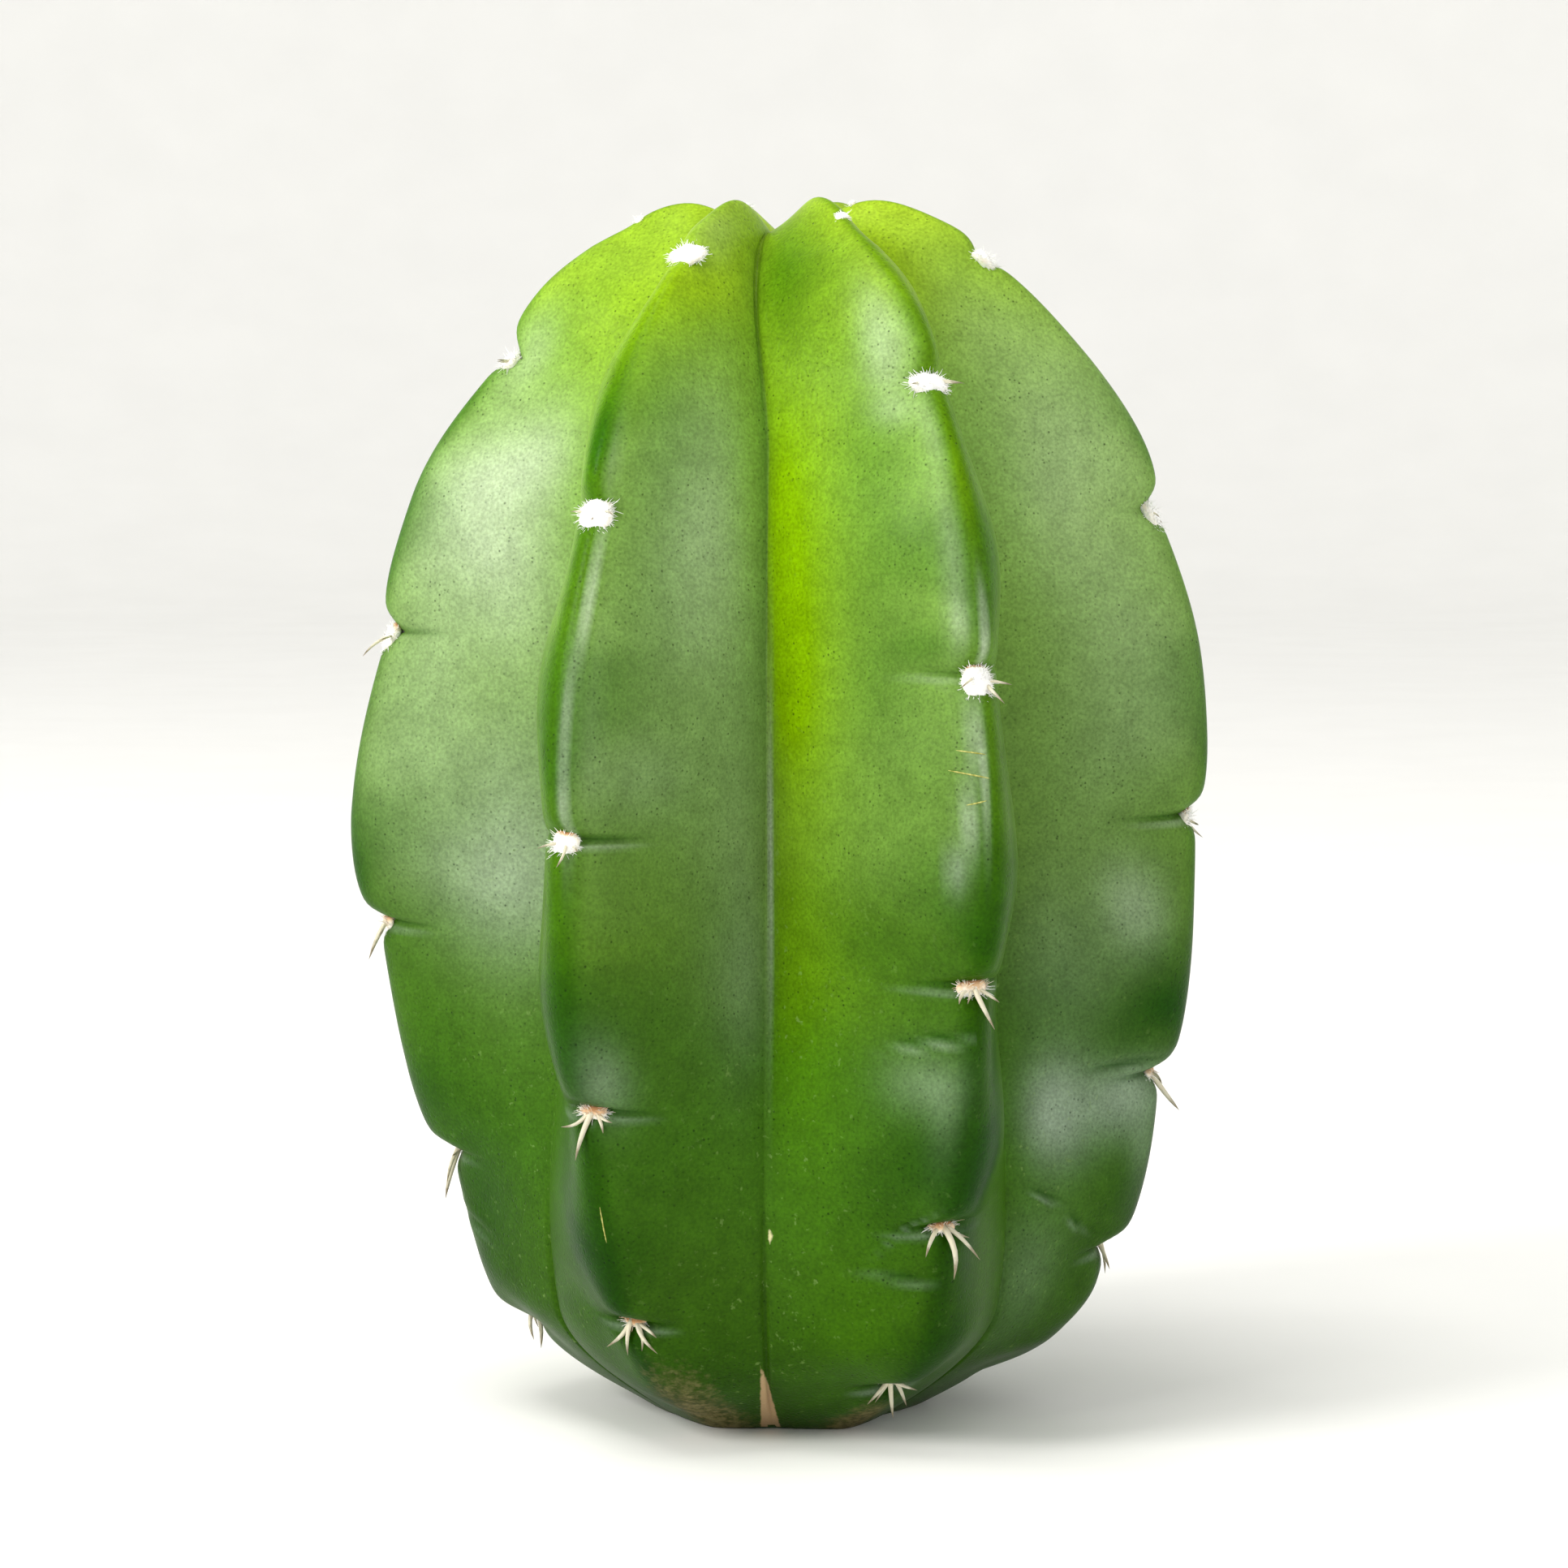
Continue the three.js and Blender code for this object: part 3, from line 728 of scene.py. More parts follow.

# Patches of young yellow-green skin, of deep green skin and painted shade, and of pale wax bloom
# with painted sheens and highlights:
# rib, side, across, height in mm, reach across, reach up and down in mm, amount

YOUNG_PATCHES = [
    (RIGHT_FRONT, -1, 0.85, 60.0, 0.40, 13.0, 1.0),
    (RIGHT_FRONT, -1, 0.80, 46.0, 0.30, 8.0, 0.7),
    (RIGHT_FRONT, -1, 0.45, 30.0, 0.25, 4.0, 0.3),
    (RIGHT_FRONT, -1, 0.75, 23.0, 0.3, 8.0, 0.55),
    (RIGHT_FRONT, -1, 0.0, 58.0, 0.06, 5.0, 0.4),
    (RIGHT_FRONT, -1, 0.85, 32.0, 0.25, 9.0, 0.55),
    (RIGHT_FRONT, -1, 0.4, 8.0, 0.35, 6.0, 0.5),
    (LEFT_FRONT, 1, 0.25, 73.0, 0.4, 4.0, 0.8),
    (LEFT_FRONT, 1, 0.85, 60.0, 0.2, 8.0, 0.35),
    (LEFT_FRONT, 1, 0.9, 30.0, 0.3, 12.0, 0.45),
    (LEFT_FRONT, -1, 0.3, 68.0, 0.3, 7.0, 0.5),
    (RIGHT, -1, 0.5, 70.0, 0.5, 9.0, 0.3),
    (RIGHT, -1, 0.8, 75.0, 0.3, 4.0, 1.0),
    (RIGHT, -1, 0.35, 58.5, 0.25, 4.0, 0.35),
    (RIGHT, -1, 0.55, 12.0, 0.35, 6.0, 0.35),
    (LEFT, 1, 0.4, 26.0, 0.45, 6.0, 0.35),
    (LEFT, 1, 0.8, 64.0, 0.3, 10.0, 0.5),
    (RIGHT, 1, 0.7, 60.0, 0.4, 13.0, 0.7),
    (RIGHT_BACK, -1, 0.7, 44.0, 0.4, 10.0, 0.4),
    (RIGHT_BACK, 1, 0.8, 58.0, 0.35, 14.0, 0.75),
    (LEFT_BACK, 1, 0.5, 68.0, 0.5, 9.0, 0.6),
    (LEFT_BACK, -1, 0.5, 30.0, 0.3, 7.0, 0.3),
    (LEFT, -1, 0.7, 52.0, 0.4, 14.0, 0.6),
]
# The deep patches hold painted shade as well as darker skin
DEEP_AND_SHADE_PATCHES = [
    (LEFT_FRONT, 1, 1.0, 62.0, 0.10, 14.0, 0.35),
    (LEFT_FRONT, -1, 0.04, 57.0, 0.06, 7.0, 0.4),
    (LEFT_FRONT, -1, 0.10, 42.0, 0.10, 9.0, 0.2),
    (LEFT_FRONT, -1, 0.10, 27.0, 0.10, 7.0, 0.25),
    (LEFT_FRONT, -1, 0.8, 10.0, 0.3, 5.0, 0.3),
    (LEFT_FRONT, -1, 0.25, 14.0, 0.25, 8.0, 0.7),
    (LEFT_FRONT, 1, 0.32, 52.0, 0.22, 10.0, 0.2),
    (LEFT_FRONT, 1, 0.25, 16.0, 0.25, 6.0, 0.15),
    (RIGHT_FRONT, 1, 0.12, 62.0, 0.10, 10.0, 0.25),
    (RIGHT_FRONT, 1, 0.13, 45.0, 0.08, 10.0, 0.35),
    (RIGHT_FRONT, 1, 0.18, 18.0, 0.16, 12.0, 0.85),
    (LEFT_FRONT, 1, 0.3, 63.0, 0.2, 5.0, 0.2),
    (LEFT_FRONT, 1, 0.0, 62.0, 0.06, 4.0, 0.4),
    (RIGHT_FRONT, -1, 0.6, 74.0, 0.5, 4.0, 0.65),
    (RIGHT_FRONT, -1, 0.8, 70.0, 0.3, 5.0, 0.35),
    (RIGHT_FRONT, -1, 0.35, 62.0, 0.2, 4.5, 0.4),
    (RIGHT_FRONT, -1, 0.38, 55.0, 0.18, 4.0, 0.3),
    (RIGHT_FRONT, -1, 0.38, 48.0, 0.15, 4.0, 0.35),
    (RIGHT_FRONT, -1, 0.35, 33.0, 0.25, 3.5, 0.35),
    (RIGHT_FRONT, -1, 0.12, 31.8, 0.14, 2.8, 0.35),
    (RIGHT_FRONT, -1, 0.2, 50.2, 0.12, 1.4, 0.45),
    (RIGHT_FRONT, -1, 0.28, 17.5, 0.22, 5.0, 0.45),
    (LEFT, 1, 0.2, 13.0, 0.3, 5.0, 0.4),
    (LEFT, 1, 0.35, 24.0, 0.3, 8.0, 0.35),
    (LEFT, 1, 0.05, 64.0, 0.10, 3.0, 0.4),
    (LEFT, 1, 0.08, 33.0, 0.12, 4.0, 0.45),
    (RIGHT, -1, 0.22, 25.8, 0.2, 2.4, 0.75),
    (RIGHT, -1, 0.3, 12.0, 0.2, 4.0, 0.3),
    (LEFT, 1, 0.5, 12.0, 0.4, 7.0, 0.35),
    (LEFT, 1, 0.0, 60.0, 0.10, 8.0, 0.5),
    (LEFT, 1, 0.0, 43.0, 0.07, 8.0, 0.4),
    (RIGHT, 1, 1.0, 50.0, 0.12, 18.0, 0.5),
    (LEFT_BACK, 1, 1.0, 46.0, 0.12, 18.0, 0.5),
]
# The bloom patches hold painted sheens and highlights as well as wax bloom
BLOOM_AND_SHEEN_PATCHES = [
    (LEFT, 1, 0.40, 58.5, 0.28, 6.0, 0.8),
    (LEFT, 1, 0.65, 61.5, 0.2, 3.0, 0.35),
    (LEFT, 1, 0.60, 54.0, 0.30, 6.0, 0.4),
    (LEFT, 1, 0.22, 47.0, 0.18, 7.0, 0.3),
    (LEFT, 1, 0.60, 34.0, 0.30, 4.0, 0.3),
    (LEFT, 1, 0.65, 38.0, 0.35, 8.0, 0.55),
    (LEFT, 1, 0.2, 67.5, 0.14, 2.6, 0.4),
    (LEFT_FRONT, 1, 0.5, 60.0, 0.25, 6.0, 0.42),
    (LEFT_FRONT, 1, 0.2, 75.0, 0.25, 1.6, 0.2),
    (LEFT_FRONT, 1, 0.08, 61.5, 0.03, 2.0, 0.3),
    (LEFT_FRONT, 1, 0.065, 53.0, 0.017, 4.0, 1.3),
    (LEFT_FRONT, 1, 0.036, 44.0, 0.021, 4.5, 1.7),
    (LEFT_FRONT, 1, 0.13, 46.0, 0.05, 5.0, 0.2),
    (LEFT_FRONT, 1, 0.85, 30.0, 0.2, 6.0, 0.25),
    (LEFT_FRONT, 1, 0.75, 46.0, 0.25, 12.0, 0.12),
    (LEFT_FRONT, 1, 0.12, 24.5, 0.1, 2.5, 0.5),
    (LEFT_FRONT, 1, 0.5, 52.0, 0.3, 6.0, 0.25),
    (LEFT_FRONT, 1, 0.3, 42.5, 0.2, 3.0, 0.2),
    (LEFT_FRONT, 1, 0.75, 36.0, 0.25, 8.0, 0.15),
    (RIGHT_FRONT, -1, 0.20, 68.0, 0.11, 3.0, 0.65),
    (RIGHT_FRONT, -1, 0.22, 64.3, 0.10, 1.0, 0.3),
    (RIGHT_FRONT, -1, 0.10, 55.5, 0.05, 3.5, 0.55),
    (RIGHT_FRONT, 1, 0.01, 51.5, 0.022, 2.2, 1.6),
    (RIGHT_FRONT, -1, 0.02, 42.0, 0.014, 3.8, 0.9),
    (RIGHT_FRONT, -1, 0.09, 51.6, 0.035, 1.6, 0.5),
    (RIGHT_FRONT, -1, 0.08, 62.5, 0.04, 2.5, 0.3),
    (RIGHT_FRONT, -1, 0.055, 44.8, 0.035, 2.6, 0.65),
    (RIGHT_FRONT, -1, 0.09, 39.8, 0.032, 2.2, 0.9),
    (RIGHT_FRONT, -1, 0.145, 37.0, 0.035, 1.4, 0.9),
    (RIGHT_FRONT, -1, 0.20, 24.0, 0.16, 1.8, 0.3),
    (RIGHT_FRONT, -1, 0.12, 21.5, 0.07, 3.0, 0.25),
    (RIGHT, -1, 0.4, 67.0, 0.45, 6.0, 0.35),
    (RIGHT, -1, 0.4, 59.0, 0.3, 6.0, 0.35),
    (RIGHT, -1, 0.35, 48.0, 0.25, 8.0, 0.3),
    (RIGHT, -1, 0.30, 32.5, 0.12, 3.0, 0.5),
    (RIGHT, -1, 0.6, 30.0, 0.25, 6.0, 0.25),
    (RIGHT, -1, 0.24, 20.2, 0.2, 2.2, 0.9),
    (RIGHT, -1, 0.62, 20.0, 0.2, 3.0, 1.1),
    (RIGHT, -1, 0.75, 10.0, 0.3, 4.0, 0.2),
    (RIGHT, -1, 0.14, 16.5, 0.08, 3.0, 0.3),
    (RIGHT, 1, 0.3, 54.0, 0.2, 8.0, 0.3),
    (RIGHT_BACK, -1, 0.3, 62.0, 0.2, 6.0, 0.3),
    (RIGHT_BACK, -1, 0.22, 31.0, 0.10, 4.0, 0.35),
    (RIGHT_BACK, 1, 0.16, 42.0, 0.08, 5.0, 0.35),
    (LEFT_BACK, -1, 0.4, 58.0, 0.25, 8.0, 0.3),
    (LEFT_BACK, -1, 0.22, 22.0, 0.10, 3.0, 0.4),
    (LEFT_BACK, 1, 0.35, 46.0, 0.25, 8.0, 0.3),
    (LEFT, -1, 0.3, 40.0, 0.2, 8.0, 0.3),
    (LEFT, -1, 0.22, 24.0, 0.10, 3.0, 0.4),
]

# A pale line along the front groove in the bloom colours, ripples across the crests, and cork

GROOVE_LINE = [(RIGHT_FRONT, -1, 0.975, 36.5, 0.018, 9.0, 1.1)]
RIPPLE_PATCHES = [
    (RIGHT_FRONT, -1, 0.10, 42.0, 0.10, 5.0, 1.0),
    (RIGHT, -1, 0.14, 26.0, 0.14, 6.0, 0.5),
    (LEFT_FRONT, 1, 0.2, 33.0, 0.14, 5.0, 0.6),
    (RIGHT_BACK, 1, 0.14, 40.0, 0.12, 6.0, 0.8),
    (LEFT_BACK, -1, 0.14, 26.0, 0.14, 6.0, 0.5),
]
CORK_PATCHES = [
    (LEFT_FRONT, 1, 0.2, 2.5, 0.4, 4.0, 0.7),
    (RIGHT_FRONT, -1, 0.0, 0.5, 0.25, 2.5, 0.8),
    (RIGHT_BACK, -1, 0.2, 2.0, 0.4, 3.0, 0.7),
    (LEFT_BACK, 1, 0.5, 1.5, 0.5, 3.0, 0.7),
]

# Raised scratches: rib, side, across at the two ends, height in mm at the two ends

SCRATCHES = [
    (RIGHT_FRONT, -1, 0.01, 0.12, 43.9, 44.1),
    (RIGHT_FRONT, -1, 0.00, 0.15, 42.5, 42.9),
    (RIGHT_FRONT, -1, 0.02, 0.10, 41.2, 40.9),
    (LEFT_FRONT, 1, 0.02, 0.03, 16.4, 14.2),
    (RIGHT_BACK, -1, 0.00, 0.14, 45.0, 45.4),
    (LEFT, -1, 0.10, 0.18, 36.0, 38.2),
]
SCRATCH_RADIUS = 0.05

# Healed marks: x, y and z of the middle, half width and half height, all in mm

MARKS = [
    (-5.6, -14.5, 67.7, 0.13, 0.20),
    (3.9, -13.0, 71.5, 0.16, 0.30),
    (9.3, -21.5, 55.3, 0.13, 0.16),
    (8.8, -21.4, 53.8, 0.14, 0.16),
    (9.7, -18.6, 63.2, 0.12, 0.25),
    (15.9, -2.4, 68.9, 0.14, 0.12),
    (-0.6, -16.9, 13.9, 0.22, 0.50),
]

# A wedge-shaped scar that rises from the cut in the front groove: its left edge, its width at
# the cut, and its height in mm

SCAR_LEFT = -1.15
SCAR_WIDTH = 1.25
SCAR_HEIGHT = 5.6


def ring_levels():
    """Levels of the skin's rows from below the apex to the foot, evenly along the crest but
    closer together near the areole levels."""
    fine = np.linspace(FIRST_LEVEL - 1, LEVELS[-1], 6000)
    radius, z = crest_outline(height_of_level(fine))
    apart = height_of_level(fine)[:, None] - LEVEL_HEIGHTS[CROWDED_LEVELS]
    near = bell(apart, CROWDING_HALF).sum(axis=1)
    travel = np.hypot(np.diff(radius), np.diff(z)) * (1 + CROWDING * near[1:])
    along = np.concatenate([[0], np.cumsum(travel)])
    return np.interp(np.linspace(0, along[-1], SKIN_ROWS + 1)[1:], along, fine)


def patches(table, rib, side, across, height):
    """The sum of soft oval patches on their own flanks, from 0 to 1. Near the crest a patch
    runs on over to the flank beside it, and it ends in the groove."""
    total = np.zeros(across.shape)
    for its_rib, its_side, centre, its_height, reach, tall, amount in table:
        here = (rib == its_rib) & (side == its_side)
        over_crest = (rib == its_rib) & (side == -its_side)
        apart = np.select([here, over_crest], [across - centre, across + centre], 9.0)
        total += amount * bell(apart, reach) * bell(height - its_height, tall)
    return np.clip(total, 0, 1)


def skin():
    """The whole outer skin: rows of points from the apex to the foot, closer together at the crests
    and the grooves than between them, closed at the apex by one point and below by a level cut face
    of rings that shrink to one point. Each point also carries how far across it lies, how young its
    skin is, how much deep green and painted shade it has, how much wax bloom and painted sheen it
    has, and how rippled, marked and corky its skin is."""
    half = 1 - (1 - np.linspace(0, 1, HALF_COLUMNS + 1) ** COLUMN_CROWDING) ** COLUMN_CROWDING
    columns = np.tile(np.concatenate([half[::-1][1:], half[1:]]), 6)
    sides = np.tile(np.repeat([-1, 1], HALF_COLUMNS), 6)
    ribs = np.repeat(np.arange(6), 2 * HALF_COLUMNS)
    levels = ring_levels()
    across, level = np.meshgrid(columns, levels)
    rib, side = (np.broadcast_to(row, across.shape) for row in (ribs, sides))

    points, height = skin_point(rib, side, across, level)
    rightwards = np.roll(points, -1, axis=1) - np.roll(points, 1, axis=1)
    outward = unit(np.cross(np.gradient(points, axis=0), rightwards) + 1e-12)
    crease, edge_highlight, crease_depth = creases(rib, side, across, level, height)
    points = points + outward * relief(points, across, height, crease_depth)[..., None]
    points[..., 2] = np.maximum(points[..., 2], 0)
    points[-1, :, 2] = 0

    youth = patches(YOUNG_PATCHES, rib, side, across, height)
    # Deep green: darker skin and painted shade, with shade also painted on the lips of the lobes
    # and in the creases
    lip = ease(lobe_profile(rib, across, level), 0.7, 1.0) * (1 - ease(across, 0.05, 0.45))
    deep_and_shade = patches(DEEP_AND_SHADE_PATCHES, rib, side, across, height)
    deep_and_shade = deep_and_shade + LIP_SHADE * lip * ease(LIP_SHADE_TOP - height, 0, 12)
    deep_and_shade = np.clip(np.maximum(deep_and_shade, CREASE_SHADE * crease), 0, 1)
    # Wax bloom with painted sheens and highlights, and the pale groove line
    bloom_and_sheen = patches(BLOOM_AND_SHEEN_PATCHES + GROOVE_LINE, rib, side, across, height)
    # A painted highlight on the edge below each crease
    bloom_and_sheen = np.maximum(bloom_and_sheen, CREASE_EDGE_HIGHLIGHT * edge_highlight)
    ripple = patches(RIPPLE_PATCHES, rib, side, across, height)
    cork = CUT_CORK * bell(height, 2.0) + patches(CORK_PATCHES, rib, side, across, height)
    cork = np.clip(cork, 0, 0.8)

    # Each mark is 1 in its middle and falls evenly outwards through 0.5 at its edge
    mark = np.full(across.shape, -3.0)
    for x, y, z, wide, tall in MARKS:
        off = points - np.array([x, y, z])
        away = np.sqrt((off[..., 0] ** 2 + off[..., 1] ** 2) / wide**2 + off[..., 2] ** 2 / tall**2)
        mark = np.maximum(mark, 1.0 - 0.5 * away)
    half_width = SCAR_WIDTH / 2 * np.clip(1 - points[..., 2] / SCAR_HEIGHT, 0, 1) ** 0.8
    inside_scar = half_width - np.abs(points[..., 0] - SCAR_LEFT - half_width)
    front = (points[..., 1] < -8) & (points[..., 2] < SCAR_HEIGHT)
    mark = np.where(front, np.maximum(mark, 0.5 + 2.0 * inside_scar), mark)

    base = points[-1] * np.array(BASE_RINGS)[:, None, None]
    count = across.shape[1]
    rows = len(levels) + len(BASE_RINGS)
    poles = [[0, 0, APEX_HEIGHT], [0, 0, 0]]
    all_points = np.concatenate([points.reshape(-1, 3), base.reshape(-1, 3), poles])
    top, bottom = rows * count, rows * count + 1
    first_row = np.arange(count)
    last_row = np.arange((rows - 1) * count, rows * count)
    faces = [ring_faces(rows, count), fan_faces(top, first_row), fan_faces(bottom, last_row[::-1])]

    # Each value's own number on the cut face, at the apex and in the cut's middle
    cut = len(BASE_RINGS) * count
    values = {
        key: np.concatenate([value.ravel(), np.full(cut, on_cut), [at_apex, in_middle]])
        for key, value, on_cut, at_apex, in_middle in (
            ("across", across, 1.0, 1.0, 1.0),
            ("youth", youth, 0.0, 0.6, 0.0),
            ("deep_and_shade", deep_and_shade, 0.0, 0.0, 0.0),
            ("bloom_and_sheen", bloom_and_sheen, 0.0, 0.0, 0.0),
            ("ripple", ripple, 0.0, 0.0, 0.0),
            ("mark", mark, 0.0, 0.0, 0.0),
            ("cork", cork, 1.0, 0.0, 1.0),
        )
    }
    return add_piece("skin", all_points, faces, waxy_green_skin(), "skin", **values)


def scratches():
    """Healed scratches as thin raised threads, half sunk in the skin: each path runs evenly
    over the flank between its two ends, and its radius falls to the ends as half an ellipse."""
    step = np.linspace(0, 1, 24)
    paths = []
    for rib, side, from_across, to_across, from_height, to_height in SCRATCHES:
        across = from_across + (to_across - from_across) * step
        lift, drop = (shared(key, rib, side, across).mean() for key in ("lift", "drop"))
        levels = np.linspace(FIRST_LEVEL, LEVELS[-1], 3000)
        heights = from_height + (to_height - from_height) * step
        level = np.interp(-heights, -height_of_level(levels, lift, drop), levels)
        ribs, sides = np.full(len(step), rib), np.full(len(step), side)
        path, height = skin_point(ribs, sides, across, level)
        aside = skin_point(ribs, sides, across + 0.01, level)[0] - path
        below = skin_point(ribs, sides, across, level + 0.02)[0] - path
        outward = unit(np.cross(below, aside) * side)
        depth = creases(ribs, sides, across, level, height)[2]
        paths.append(path + outward * relief(path, across, height, depth)[:, None])
    paths = np.array(paths)
    random = np.random.default_rng(RANDOM_SEED + 4)
    uneven = random.uniform(0.7, 1.2, (len(paths), len(step)))
    radii = SCRATCH_RADIUS * np.sqrt(1.02 - (2 * step - 1) ** 2) * uneven
    points, faces = tapered_tubes(paths, radii, 6)
    return add_piece("healed_scratches", points, faces, dry_scar(), "skin")


# Areoles: the woolly cushions in the crest's notches, with their spines. By level, the wool's
# width, length down the crest and height in mm, and how many hairs stand on it

WOOL_SIZES = np.array(
    [
        (-3, 0.5, 0.5, 0.20, 30),
        (-2, 0.5, 0.5, 0.20, 40),
        (-1, 0.9, 0.7, 0.25, 60),
        (0, 2.3, 2.0, 0.50, 280),
        (1, 2.5, 1.7, 0.50, 280),
        (2, 2.2, 2.5, 0.60, 330),
        (3, 2.0, 2.4, 0.60, 310),
        (4, 1.8, 2.0, 0.50, 230),
        (5, 1.9, 1.15, 0.45, 200),
        (6, 1.8, 1.1, 0.45, 190),
        (7, 1.7, 0.8, 0.40, 150),
        (8, 1.6, 0.7, 0.35, 130),
        (9, 1.5, 0.6, 0.30, 110),
    ]
)
WOOL_ROWS = 9
WOOL_COLUMNS = 18
WOOL_LUMP = 0.16
WOOL_SINK = 0.45

# How far below its notch each cushion lies, and the reach over which it takes the crest's
# slope, in levels, and the levels over which wool wears thin

WOOL_BELOW = 0.05
WOOL_REACH = 0.11
WOOL_WEARS = (3.5, 5.5)

# Hairs in mm: their root's radius, their shortest length, and the most that is added to it

HAIR_RADIUS = 0.026
HAIR_LENGTH = 0.20
HAIR_SPARE = 0.40

# Spines by level: turn from straight down the crest in degrees, length in mm, root's place to
# the right of the areole's middle in mm, and root radius in mm

SPINES = {
    1: [(-80, 0.9, -0.8, 0.08), (80, 1.4, 0.9, 0.09), (62, 1.0, 0.9, 0.07)],
    2: [(-84, 0.9, -0.8, 0.08), (20, 1.0, -0.1, 0.09), (80, 0.8, 0.8, 0.08)],
    3: [(-82, 1.6, -0.5, 0.10), (86, 1.7, 0.5, 0.11), (24, 2.3, 0.3, 0.12)],
    4: [(-84, 1.3, -0.5, 0.10), (8, 1.6, 0.1, 0.11), (76, 1.0, 0.5, 0.09)],
    5: [(-68, 1.1, -0.6, 0.12), (-34, 0.8, -0.3, 0.10), (18, 2.6, 0.1, 0.17), (64, 1.2, 0.6, 0.13)],
    6: [(-80, 1.6, -0.5, 0.13), (-10, 3.0, 0.0, 0.18), (48, 1.1, 0.5, 0.12), (82, 1.0, 0.8, 0.11)],
    7: [(-54, 2.2, -0.5, 0.15), (4, 3.2, 0.0, 0.19), (54, 2.6, 0.5, 0.15), (84, 1.1, 0.7, 0.11)],
    8: [
        (-62, 2.1, -0.5, 0.15),
        (60, 2.1, 0.5, 0.15),
        (-14, 2.0, -0.2, 0.15),
        (28, 1.5, 0.2, 0.13),
        (86, 1.2, 0.7, 0.12),
    ],
    9: [
        (10, 2.5, 0.0, 0.17),
        (-56, 1.7, -0.4, 0.14),
        (-24, 1.6, -0.2, 0.13),
        (48, 2.3, 0.4, 0.15),
        (80, 1.4, 0.5, 0.12),
    ],
}

# Degrees that side spines and spines down the middle rise from the crest, how deep their
# roots are set and how far out they start in mm, and their place in levels

SPINE_RISE = 28
CENTRE_SPINE_RISE = 46
SPINE_ROOT_DEPTH = 0.5
SPINE_START = 0.35
SPINE_BELOW = 0.04
SPINE_REACH = 0.5
SPINE_STEPS = 7
SPINE_SIDES = 8


def areole_places():
    """The rib and level of every areole, from two levels above each rib's first one."""
    levels = [np.arange(first - 2, LAST_AREOLE_LEVEL + 1, 2) for first in RIBS["first"]]
    rib = np.repeat(np.arange(6), [len(of_rib) for of_rib in levels])
    return rib, np.concatenate(levels).astype(float)


def seats(rib, level, below, reach):
    """For each areole a middle on the crest, some levels below its notch, and three
    directions there: down the crest, sideways, and out of the skin. Down is the line between
    the crest's points at the reach above and below that middle."""
    side, crest = np.ones(len(rib), dtype=int), np.zeros(len(rib))
    middle, height = skin_point(rib, side, crest, level + below)
    upper = skin_point(rib, side, crest, level + below - reach)[0]
    lower = skin_point(rib, side, crest, level + below + reach)[0]
    down = unit(lower - upper)
    turn = np.radians(RIBS["azimuth"][rib] + crest_twist(rib, side, crest, height))
    sideways = np.stack([np.cos(turn), np.sin(turn), 0 * turn], axis=-1)
    out = unit(np.cross(down, sideways))
    uneven = UNEVEN_DEPTH * waves(middle, UNEVEN_WAVES, *UNEVEN_LENGTHS, RANDOM_SEED)
    return middle + out * uneven[:, None], down, sideways, out


